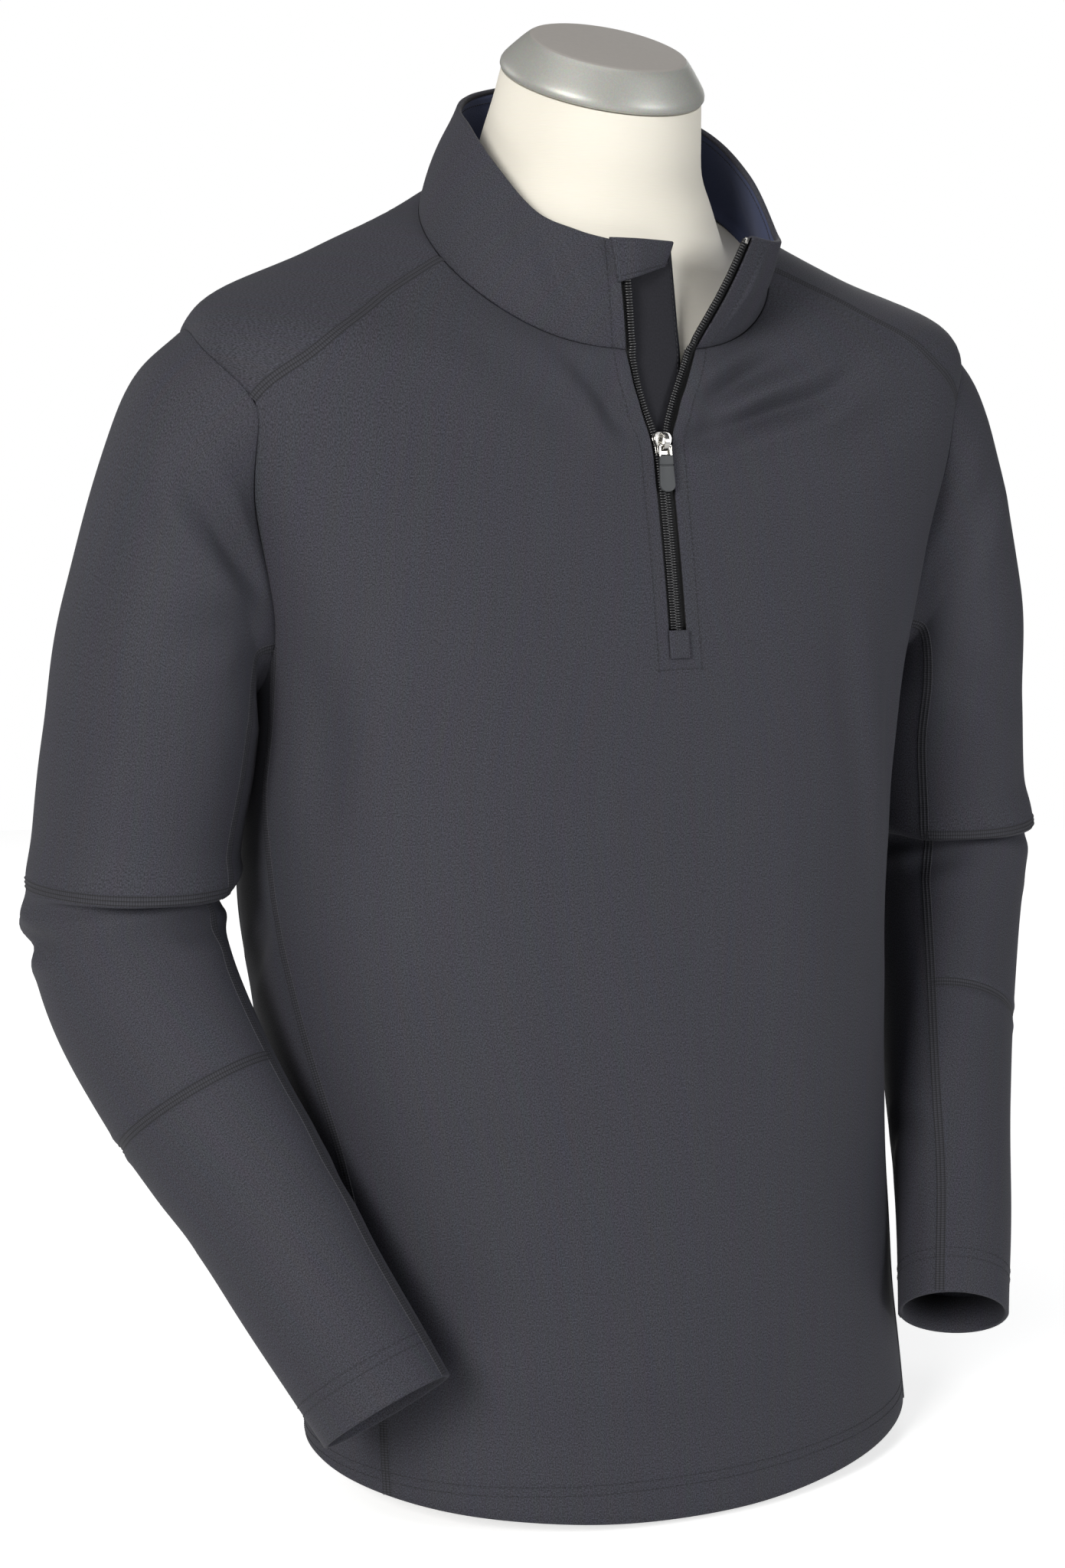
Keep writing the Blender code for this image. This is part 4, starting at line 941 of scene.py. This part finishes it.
# Ribs of the weave 0.5 mm apart run across the tape
uv = add(tree, "ShaderNodeUVMap").outputs["UV"]
ribs = add(tree, "ShaderNodeMapping", [("Vector", uv)], Scale=(150, 2000, 1))
rib = add(tree, "ShaderNodeTexWave", [("Vector", ribs.outputs[0])], [("bands_direction", "Y")], Scale=0.32,
          Distortion=0.6)
bump = add(tree, "ShaderNodeBump", [("Height", rib.outputs["Fac"])], Strength=0.4, Distance=0.0002)
tree.links.new(bump.outputs[0], shader.inputs["Normal"])
coil_nylon, _, _ = new_material("black nylon coil", "#232325", 0.3, Specular_IOR_Level=0.9)


def opening_edge(slit, end):
    """Points up an edge of the opening and its collar end, with the directions out and past the edge."""
    collar_end = np.stack((np.full(40, float(end)), np.linspace(0.02, 0.985, 40)), axis=-1)
    turned = collar_end + (0.02 if end == 0 else -0.02, 0)
    mirror = 1 if end == 0 else -1
    body = slit[3:] * (mirror, 1)
    points = np.concatenate([torso(body), collar(collar_end)])
    soft = np.exp(-(np.linspace(-2, 2, 33) ** 2))
    padded = np.pad(points, ((16, 16), (0, 0)), mode="reflect", reflect_type="odd")
    soft /= soft.sum()
    points = np.stack([np.convolve(column, soft, mode="valid") for column in padded.T], axis=-1)
    beside = np.concatenate([torso(body + (2 * mirror, 0)), collar(turned)])
    ahead = unit(np.gradient(points, axis=0))
    out = unit(np.cross(beside - points, ahead)) * mirror
    return points, out, unit(np.cross(out, ahead)) * mirror, ahead


def evenly(points, spacing, *others):
    """Points respaced along their run, with the directions that go with them."""
    travel = np.concatenate([[0], np.cumsum(np.linalg.norm(np.diff(points, axis=0), axis=1))])
    even = np.arange(0, travel[-1], spacing)
    return [np.stack([np.interp(even, travel, values[:, k]) for k in range(3)], axis=-1)
            for values in (points, *others)]


def small_parts(name, template, faces, places):
    """One mesh of many small solids. places: (centre, three axes) for each."""
    points, all_faces = [], []
    for index, (centre, axes) in enumerate(places):
        points.append(np.asarray(template) @ np.asarray(axes) + centre)
        all_faces += [[corner + index * len(template) for corner in face] for face in faces]
    made = bpy.data.meshes.new(name)
    made.from_pydata(np.concatenate(points).tolist(), [], all_faces)
    return made


def tube_faces(rings, count):
    """Faces between rings of so many points each, with both ends closed."""
    faces = [[i * count + j, i * count + (j + 1) % count, (i + 1) * count + (j + 1) % count,
              (i + 1) * count + j] for i in range(rings - 1) for j in range(count)]
    return faces + [list(range(count))[::-1], [(rings - 1) * count + j for j in range(count)]]


def capsule(sections, sides):
    """A round bar along x. sections: (x, radius, rise)."""
    turns = np.linspace(0, 2 * np.pi, sides, endpoint=False)
    points = [(x, radius * math.cos(turn), rise + radius * math.sin(turn))
              for x, radius, rise in sections for turn in turns]
    return points, tube_faces(len(sections), sides)


teeth = []
coil_tops = []
for end, slit in ((0, left_slit), (1, right_slit)):
    points, out, past, ahead = opening_edge(slit, end)
    side = ("left", "right")[end]
    reaches = np.linspace(-TAPE_UNDER, TAPE_OUT, 8)[:: -1 if end == 0 else 1]
    sparse = evenly(points, 0.004, out, past)
    grid = np.stack([sparse[0] + sparse[2] * reach - sparse[1] * TAPE_DEPTH for reach in reaches], axis=1)
    cloth(f"zip_tape_cloth_{side}", [grid], [f"zip_tape_{side}"], woven,
          "zip_tape", TAPE)
    edge = points + past * (TAPE_OUT - 0.0013) - out * (TAPE_DEPTH - 0.0007)
    centres, outs, pasts, aheads = evenly(edge[:-1], COIL_PITCH, out[:-1], past[:-1], ahead[:-1])
    for centre, up, side_way, forward in zip(centres, outs, pasts, aheads):
        teeth.append((centre + forward * COIL_PITCH * 0.5 * end, (side_way, forward * 0.96, up * 1.35)))
    coil_tops.append((centres[-1] + outs[-1] * 0.0004, (pasts[-1], outs[-1], aheads[-1])))
half_tooth = TOOTH_LENGTH / 2
tooth, tooth_faces = capsule((
    (-half_tooth, 0.00025, -0.0004), (-half_tooth * 0.85, 0.00052, -0.0001), (0, 0.00058, 0.0002),
    (half_tooth * 0.7, 0.00068, 0.0001), (half_tooth, 0.0004, -0.0002)), 8)
add_piece("zip_coil", small_parts("zip_coil", tooth, tooth_faces, teeth), coil_nylon, "zip_tape", GARMENT)

# ---- Topstitching. Charcoal polyester thread, drawn nearly 0.5 mm thick, in stitches 2.2 mm long: twin
# rows at the hem and cuffs, single rows round the zip, at both ends of the collar and inside it.
thread, _, _ = new_material("charcoal polyester thread", "#2c2c31", 0.5, Specular_IOR_Level=0.4)
STITCH, STITCH_PITCH, STITCH_PROUD = 0.0022, 0.0029, 0.00012
HEM_ROWS, CUFF_ROWS = (0.0235, 0.0285), (9.62, 9.70)  # heights above the floor, sleeve levels
# The level across the zip's foot, how far a row lies beside the opening, and the foot row's half width
BOX_LEVEL, BESIDE_ZIP, BOX_HALF_WIDTH = 5.08, 0.0077, 0.0134
half_stitch = STITCH / 2
stitch, stitch_faces = capsule((
    (-half_stitch, 0.00010, -0.00022), (-half_stitch * 0.7, 0.00021, 0.0), (0, 0.00023, 0.00008),
    (half_stitch * 0.7, 0.00021, 0.0), (half_stitch, 0.00010, -0.00022)), 6)


def stitches(surface, places, shift, depth=0.0, beside=0.5):
    """Where each stitch of a row lies on a surface, or this far behind it."""
    run, _ = run_along(surface, places, STITCH_PITCH)
    points, out, ahead = facing(surface, run, beside)
    side_out = -1 if depth else 1
    out = out * side_out
    points = points + out * (shift(points) * side_out + depth + STITCH_PROUD)[:, None]
    return [(point, (forward, np.cross(up, forward), up))
            for point, up, forward in zip(points, out, ahead)]


def flipped(rows):
    return [(centre * FLIP, np.asarray(axes) * FLIP) for centre, axes in rows]


rows = []
turns = np.linspace(0, 360, 181)
for height in HEM_ROWS:
    low, high = torso(np.stack((turns, 0 * turns), -1)), torso(np.stack((turns, 0 * turns + 1), -1))
    level = (height - low[:, 2]) / (high[:, 2] - low[:, 2])
    rows += stitches(torso, np.stack((turns, level), axis=-1), body_shift)
for level in CUFF_ROWS:
    cuff_row = np.stack((turns, 0 * turns + level), axis=-1)
    rows += stitches(sleeve, cuff_row, lambda points: sleeve_shift(points, "left"))
    rows += flipped(stitches(sleeve, cuff_row, lambda points: sleeve_shift(points, "right")))
for mirror, opening in ((1, LEFT_OPENING), (-1, RIGHT_OPENING)):
    levels = np.linspace(BOX_LEVEL, 9.97, 90)
    edge_x = np.interp(levels, [BOX_LEVEL] + [row[0] for row in opening],
                       [SLIT_HALF_WIDTH] + [row[1] for row in opening])
    beside_zip = np.stack((angle_at(edge_x + BESIDE_ZIP, levels) * mirror, levels), axis=-1)
    rows += stitches(torso, beside_zip, body_shift)
box_x = np.linspace(-BOX_HALF_WIDTH, BOX_HALF_WIDTH, 12)
rows += stitches(torso, np.stack((angle_at(box_x, BOX_LEVEL), np.full(12, BOX_LEVEL)), axis=-1), body_shift)
for start, end, depth in (
    ((STRIP_START + 0.003, 0.03), (STRIP_START + 0.003, 0.97), 0.0),
    ((0.030, 0.05), (0.033, 0.93), 0.0),
    ((0.01, 0.90), (0.99, 0.90), INNER_DEPTH + JERSEY + 0.0002),
):
    rows += stitches(collar, line(start, end), collar_shift, depth, COLLAR_BESIDE)
add_piece("topstitching", small_parts("topstitching", stitch, stitch_faces, rows), thread,
          "charcoal_jersey", GARMENT)

# ---- Wind guard, chin flap and end patch. The same jersey: a strip behind the zip, a flap folded
# over the top of the wearer's right tape, and a small patch that covers the foot of the zip.
GUARD_DEPTH = 0.0050  # how far it lies behind the front's outside
# Columns: torso level, x of the edge on the wearer's right and of the edge on the left
GUARD_BODY = ((5.10, -0.0120, 0.0100), (6.00, -0.0125, 0.0100), (7.05, -0.0130, 0.0100),
              (8.00, -0.0180, 0.0120), (9.00, -0.0215, 0.0155), (9.75, -0.0245, 0.0180))
# Columns: height, the two edges
GUARD_COLLAR = ((0.662, -0.0265, 0.0165), (0.684, -0.0290, 0.0138), (0.7025, -0.0310, 0.0115))
NECK_FRONT_Y, NECK_MIDDLE_Y, NECK_HALF_WIDTH = -0.063, 0.0145, 0.090
# x, z of the flap's lower and upper corners, then how far its outside lies out at each end
FLAP_LOW = ((-0.0250, 0.6810), (0.0065, 0.6905))
FLAP_HIGH = ((-0.0285, 0.7045), (0.0118, 0.7035))
FLAP_OVER, FLAP_BEHIND = 0.0045, -0.0026
PATCH_HALF_WIDTH, PATCH_LEVELS, PATCH_RISE = 0.0061, (5.155, 5.35), 0.0013


def collar_front(x, z):
    """Points on the outside of the collar's front."""
    depth = (NECK_MIDDLE_Y - NECK_FRONT_Y) * np.sqrt(1 - (x / NECK_HALF_WIDTH) ** 2)
    return np.stack((x, NECK_MIDDLE_Y - depth, z), axis=-1)


guard_rows = []
for level, right, left in GUARD_BODY:
    x = np.linspace(right, left, 15)
    guard_rows.append(torso(np.stack((angle_at(x, level), np.full(x.shape, level)), axis=-1)))
guard_rows += [collar_front(np.linspace(right, left, 15), np.full(15, z))
               for z, right, left in GUARD_COLLAR]
guard = row_at(guard_rows, np.linspace(0, len(guard_rows) - 1, 110))
guard = guard - outward(guard) * GUARD_DEPTH
shaded_guard_jersey, tree, shader = new_material("charcoal jersey darkened as painted shade", "#2a2a2f", 0.8, Specular_IOR_Level=0.2)
# The guard's jersey with painted shade: colours darker than the body's, standing in for the shadow
# behind the zip and under the collar. Loops 0.4 mm apart, drawn 0.8 mm apart to show
uv = add(tree, "ShaderNodeUVMap").outputs["UV"]
loops = add(tree, "ShaderNodeMapping", [("Vector", uv)], Scale=(1250, 900, 1))
yarn = add(tree, "ShaderNodeTexNoise", [("Vector", loops.outputs[0])], Scale=1.0, Detail=2.0)
# Painted shade: the dark tones of the shadowed guard
tone = add(tree, "ShaderNodeMixRGB", [("Fac", yarn.outputs["Fac"])], Color1=linear("#1d1d21"),
           Color2=linear("#2f2f35"))
tree.links.new(tone.outputs[0], shader.inputs["Base Color"])
cloth("wind_guard_cloth", [guard], ["wind_guard"], shaded_guard_jersey)

u, v = np.meshgrid(np.linspace(0, 1, 30), np.linspace(0, 1, 16))
low = np.array(FLAP_LOW[0]) + (np.array(FLAP_LOW[1]) - FLAP_LOW[0]) * u[..., None]
high = np.array(FLAP_HIGH[0]) + (np.array(FLAP_HIGH[1]) - FLAP_HIGH[0]) * u[..., None]
place = low + (high - low) * v[..., None]
behind = np.clip((u - 0.35) / 0.65, 0, 1)
proud = FLAP_OVER + (FLAP_BEHIND - FLAP_OVER) * behind + 0.0006 * np.sin(np.pi * v)
flap = collar_front(place[..., 0], place[..., 1]) - np.stack((0 * u, proud, 0 * u), axis=-1)
# Its top turns back over the guard
over_top = [flap[-1] + np.array((0, back, up))
            for back, up in ((0.0006, 0.0006), (0.0016, 0.0010), (0.0030, 0.0008))]
flap = np.concatenate([flap, over_top])
cloth("chin_flap_cloth", [flap], ["chin_flap"])
# Both are stitched along their free edges: the flap's foot, and the guard's edge on the wearer's left
guard_edge = guard[20:-4, -2] * 0.6 + guard[20:-4, -1] * 0.4
edge_out = np.array((0.0, -0.98, 0.2))
edge_rows = []
for edge in (flap[2], guard_edge):
    edge_points = evenly(edge, STITCH_PITCH)[0]
    edge_rows += [(point + edge_out * 0.0002, (forward, np.cross(edge_out, forward), edge_out))
                  for point, forward in zip(edge_points, unit(np.gradient(edge_points, axis=0)))]
add_piece("edge_topstitching", small_parts("edge_topstitching", stitch, stitch_faces, edge_rows), thread,
          "charcoal_jersey", GARMENT)

patch_x, patch_levels = np.meshgrid(np.linspace(-PATCH_HALF_WIDTH, PATCH_HALF_WIDTH, 13),
                                    np.linspace(*PATCH_LEVELS, 13))
end_patch = torso(np.stack((angle_at(patch_x, patch_levels), patch_levels), axis=-1))
end_patch = end_patch + outward(end_patch) * PATCH_RISE
cloth("zip_end_patch_cloth", [end_patch], ["zip_end_patch"], thickness=0.0009)

# ---- Slider and top stop. Die-cast zinc, nickel plated and polished: a body with round shoulders
# that narrows to its foot, and a bridge in front that holds the pull. The stop is pressed on the coil.
SLIDER_LEVEL = 7.12
PLATE_APART, PLATE_HALF, PLATE_ROUND = 0.00115, 0.00055, 0.0004
# x, z of the right half of the outline, from the top middle to the foot
SLIDER_OUTLINE = (
    (0.0, 0.0063), (0.0018, 0.0065), (0.0038, 0.0060), (0.0051, 0.0047), (0.0056, 0.0030),
    (0.0054, 0.0014), (0.0046, -0.0004), (0.0041, -0.0022), (0.0041, -0.0046), (0.0040, -0.0058),
    (0.0032, -0.0064), (0.0016, -0.0066), (0.0, -0.0066),
)
# The bridge: half lengths up and out of the body, its half width and half thickness
BRIDGE_UP, BRIDGE_OUT, BRIDGE_HALF_WIDTH, BRIDGE_HALF = 0.0046, 0.0049, 0.0016, 0.0007
nickel, tree, shader = new_material("polished nickel plate", "#c9c7c2", 0.2, Metallic=1.0)
# Plated die casting: bright, with a faint waviness from barrel polishing
place = add(tree, "ShaderNodeTexCoord").outputs["Object"]
wavy = add(tree, "ShaderNodeTexNoise", [("Vector", place)], Scale=600.0, Detail=2.0)
bump = add(tree, "ShaderNodeBump", [("Height", wavy.outputs["Fac"])], Strength=0.06, Distance=0.0004)
tree.links.new(bump.outputs[0], shader.inputs["Normal"])


def pillow(outline, sections):
    """A plate with rounded edges. outline: (x, z) points; sections: (y, how far the outline draws in)."""
    outline = np.array(outline)
    ahead = np.roll(outline, -1, axis=0) - np.roll(outline, 1, axis=0)
    inwards = unit(np.stack((-ahead[:, 1], ahead[:, 0]), axis=-1))
    x, z = outline.T
    inwards = inwards * math.copysign(1, np.sum(x * np.roll(z, -1) - np.roll(x, -1) * z))
    points = [(x, y, z) for y, draw in sections for x, z in outline + inwards * draw]
    return points, tube_faces(len(sections), len(outline))


def rounded(half_thickness, radius):
    """Sections of a plate whose edges are rounded to this radius."""
    turns = np.radians((0, 22, 45, 68, 90))
    edge = [(half_thickness - radius + radius * math.sin(t), radius * (1 - math.cos(t))) for t in turns]
    return [(-y, draw) for y, draw in edge[::-1]] + edge


def shape_into(target, points, faces):
    """Adds points and faces to a bmesh."""
    verts = [target.verts.new(point) for point in points]
    for face in faces:
        target.faces.new([verts[corner] for corner in face])


def arch(up, out, half_width, half_thickness, steps=28):
    """A flat bar bent over in front of the y-z plane, with rounded sides."""
    section = bar_outline(half_width, half_width, half_thickness, -half_thickness, 0.0005, 0.0005)
    points = [(x, -(out + proud) * math.sin(turn), (up + proud) * math.cos(turn))
              for turn in np.linspace(0, math.pi, steps + 1) for x, proud in section]
    return points, tube_faces(steps + 1, len(section))


def bar_outline(half_top, half_bottom, top, bottom, round_top, round_bottom):
    """A tapered bar's outline, with its corners rounded."""
    corners = ((half_top, top, round_top, 0), (-half_top, top, round_top, 90),
               (-half_bottom, bottom, round_bottom, 180), (half_bottom, bottom, round_bottom, 270))
    points = []
    for x, z, radius, first in corners:
        middle_x, middle_z = x - math.copysign(radius, x), z + (radius if first >= 180 else -radius)
        for turn in np.radians(first + np.linspace(0, 90, 8)):
            points.append((middle_x + radius * math.cos(turn), middle_z + radius * math.sin(turn)))
    return points


chest_low, slider_centre, chest_high = torso(
    np.array([(0, SLIDER_LEVEL + step) for step in (-0.3, 0, 0.3)]))
chest_up = unit(chest_high - chest_low)
chest_out = np.array((0, -chest_up[2], chest_up[1]))
lean = math.atan2(chest_up[1], chest_up[2])
outline = list(SLIDER_OUTLINE) + [(-x, z) for x, z in SLIDER_OUTLINE[-2:0:-1]]
shape = bmesh.new()
for middle_y in (-PLATE_APART, PLATE_APART):
    points, faces = pillow(outline, rounded(PLATE_HALF, PLATE_ROUND))
    shape_into(shape, [(x, y + middle_y, z) for x, y, z in points], faces)
# The wall between the two plates, open at the sides for the teeth
divider = [(0.0012 * math.cos(turn), 0.0036 + 0.0021 * math.sin(turn))
           for turn in np.linspace(0, 2 * np.pi, 15, endpoint=False)]
points, faces = pillow(divider, ((-0.0007, 0), (0.0007, 0)))
shape_into(shape, points, faces)
points, faces = arch(BRIDGE_UP, BRIDGE_OUT, BRIDGE_HALF_WIDTH, BRIDGE_HALF)
shape_into(shape, [(x, y - 0.0012, z + 0.0006) for x, y, z in points], faces)
bmesh.ops.recalc_face_normals(shape, faces=shape.faces)
slider_mesh = bpy.data.meshes.new("slider_body")
shape.to_mesh(slider_mesh)
shape.free()
slider = add_piece("slider_body", slider_mesh, nickel, "nickel", GARMENT, "zip_slider")
slider.location = slider_centre
slider.rotation_euler = (-lean, 0, 0)
slider.data.set_sharp_from_angle(angle=math.radians(50))
stop_outline = [(0.0013 * x, 0.0016 * y) for x, y in ((-1, -1), (1, -1), (1, 1), (-1, 1))]
stop, stop_faces = pillow(stop_outline, rounded(0.0009, 0.0004))
add_piece("top_stops", small_parts("top_stops", stop, stop_faces, coil_tops[:1]), nickel, "nickel", GARMENT)

# ---- Pull. A nickel wire bail through the bridge, moulded into a bare tab of dark grey rubber with a
# groove across its head. It swings on the bridge.
HINGE_UP, HINGE_OUT = -0.0016, 0.0035
PULL_WIRE, PULL_HALF_WIDTH = 0.0008, 0.0034
TAB_START, TAB_LENGTH, TAB_THICKNESS, TAB_REST = 0.0056, 0.0200, 0.0019, 4.0
TAB_HALF_TOP, TAB_HALF_END = 0.0040, 0.0047
rubber, tree, shader = new_material("grey moulded rubber", "#434547", 0.5, Specular_IOR_Level=0.4)
# Spark-eroded mould finish, a fine even grain under a tenth of a millimetre, drawn 0.2 mm to show
place = add(tree, "ShaderNodeTexCoord").outputs["Object"]
grit = add(tree, "ShaderNodeTexNoise", [("Vector", place)], Scale=5000.0, Detail=1.0)
bump = add(tree, "ShaderNodeBump", [("Height", grit.outputs["Fac"])], Strength=0.25, Distance=0.0001)
tree.links.new(bump.outputs[0], shader.inputs["Normal"])

hinge = slider_centre + chest_up * HINGE_UP + chest_out * HINGE_OUT
shape = bmesh.new()
bar_foot = TAB_START + TAB_LENGTH
# The head above the groove, the groove's floor, and the rest of the tab: half width at the top and the
# bottom, top, bottom, corner radii, half thickness and edge radius
for *bar, half_thickness, edge_radius in (
    (TAB_HALF_TOP, 0.00424, -TAB_START, -0.0107, 0.0010, 0.0002, TAB_THICKNESS / 2, 0.0003),
    (0.0038, 0.0038, -0.0102, -0.0116, 0.0002, 0.0002, 0.0006, 0.0001),
    (0.00426, TAB_HALF_END, -0.0111, -bar_foot, 0.0002, 0.0040, TAB_THICKNESS / 2, 0.0004),
):
    shape_into(shape, *pillow(bar_outline(*bar), rounded(half_thickness, edge_radius)))
bmesh.ops.recalc_face_normals(shape, faces=shape.faces)
rubber_faces = len(shape.faces)
# The bail: a closed wire loop whose foot is inside the tab
loop = bar_outline(PULL_HALF_WIDTH, PULL_HALF_WIDTH, 0, -TAB_START - 0.0018, 0.0009, 0.0009)
loop = np.array([(x, 0, z) for x, z in loop])
ahead = unit(np.roll(loop, -1, axis=0) - np.roll(loop, 1, axis=0))
beside = np.cross(ahead, (0, 1, 0))
sides = 10
points = [loop[i] + PULL_WIRE * (math.cos(t) * beside[i] + math.sin(t) * np.array((0, 1, 0)))
          for i in range(len(loop)) for t in np.linspace(0, 2 * np.pi, sides, endpoint=False)]
faces = [[i * sides + j, i * sides + (j + 1) % sides, (i + 1) % len(loop) * sides + (j + 1) % sides,
          (i + 1) % len(loop) * sides + j] for i in range(len(loop)) for j in range(sides)]
shape_into(shape, points, faces)
bmesh.ops.recalc_face_normals(shape, faces=shape.faces)
pull_mesh = bpy.data.meshes.new("pull")
shape.to_mesh(pull_mesh)
shape.free()
pull_mesh.materials.append(rubber)
pull_mesh.materials.append(nickel)
for polygon in pull_mesh.polygons:
    polygon.material_index = int(polygon.index >= rubber_faces)
pull = add_piece("pull", pull_mesh, None, "grey_rubber", PULL, "zip_pull")
pull.location = hinge
pull.rotation_euler = (math.radians(TAB_REST) - lean, 0, 0)
pull.data.set_sharp_from_angle(angle=math.radians(50))
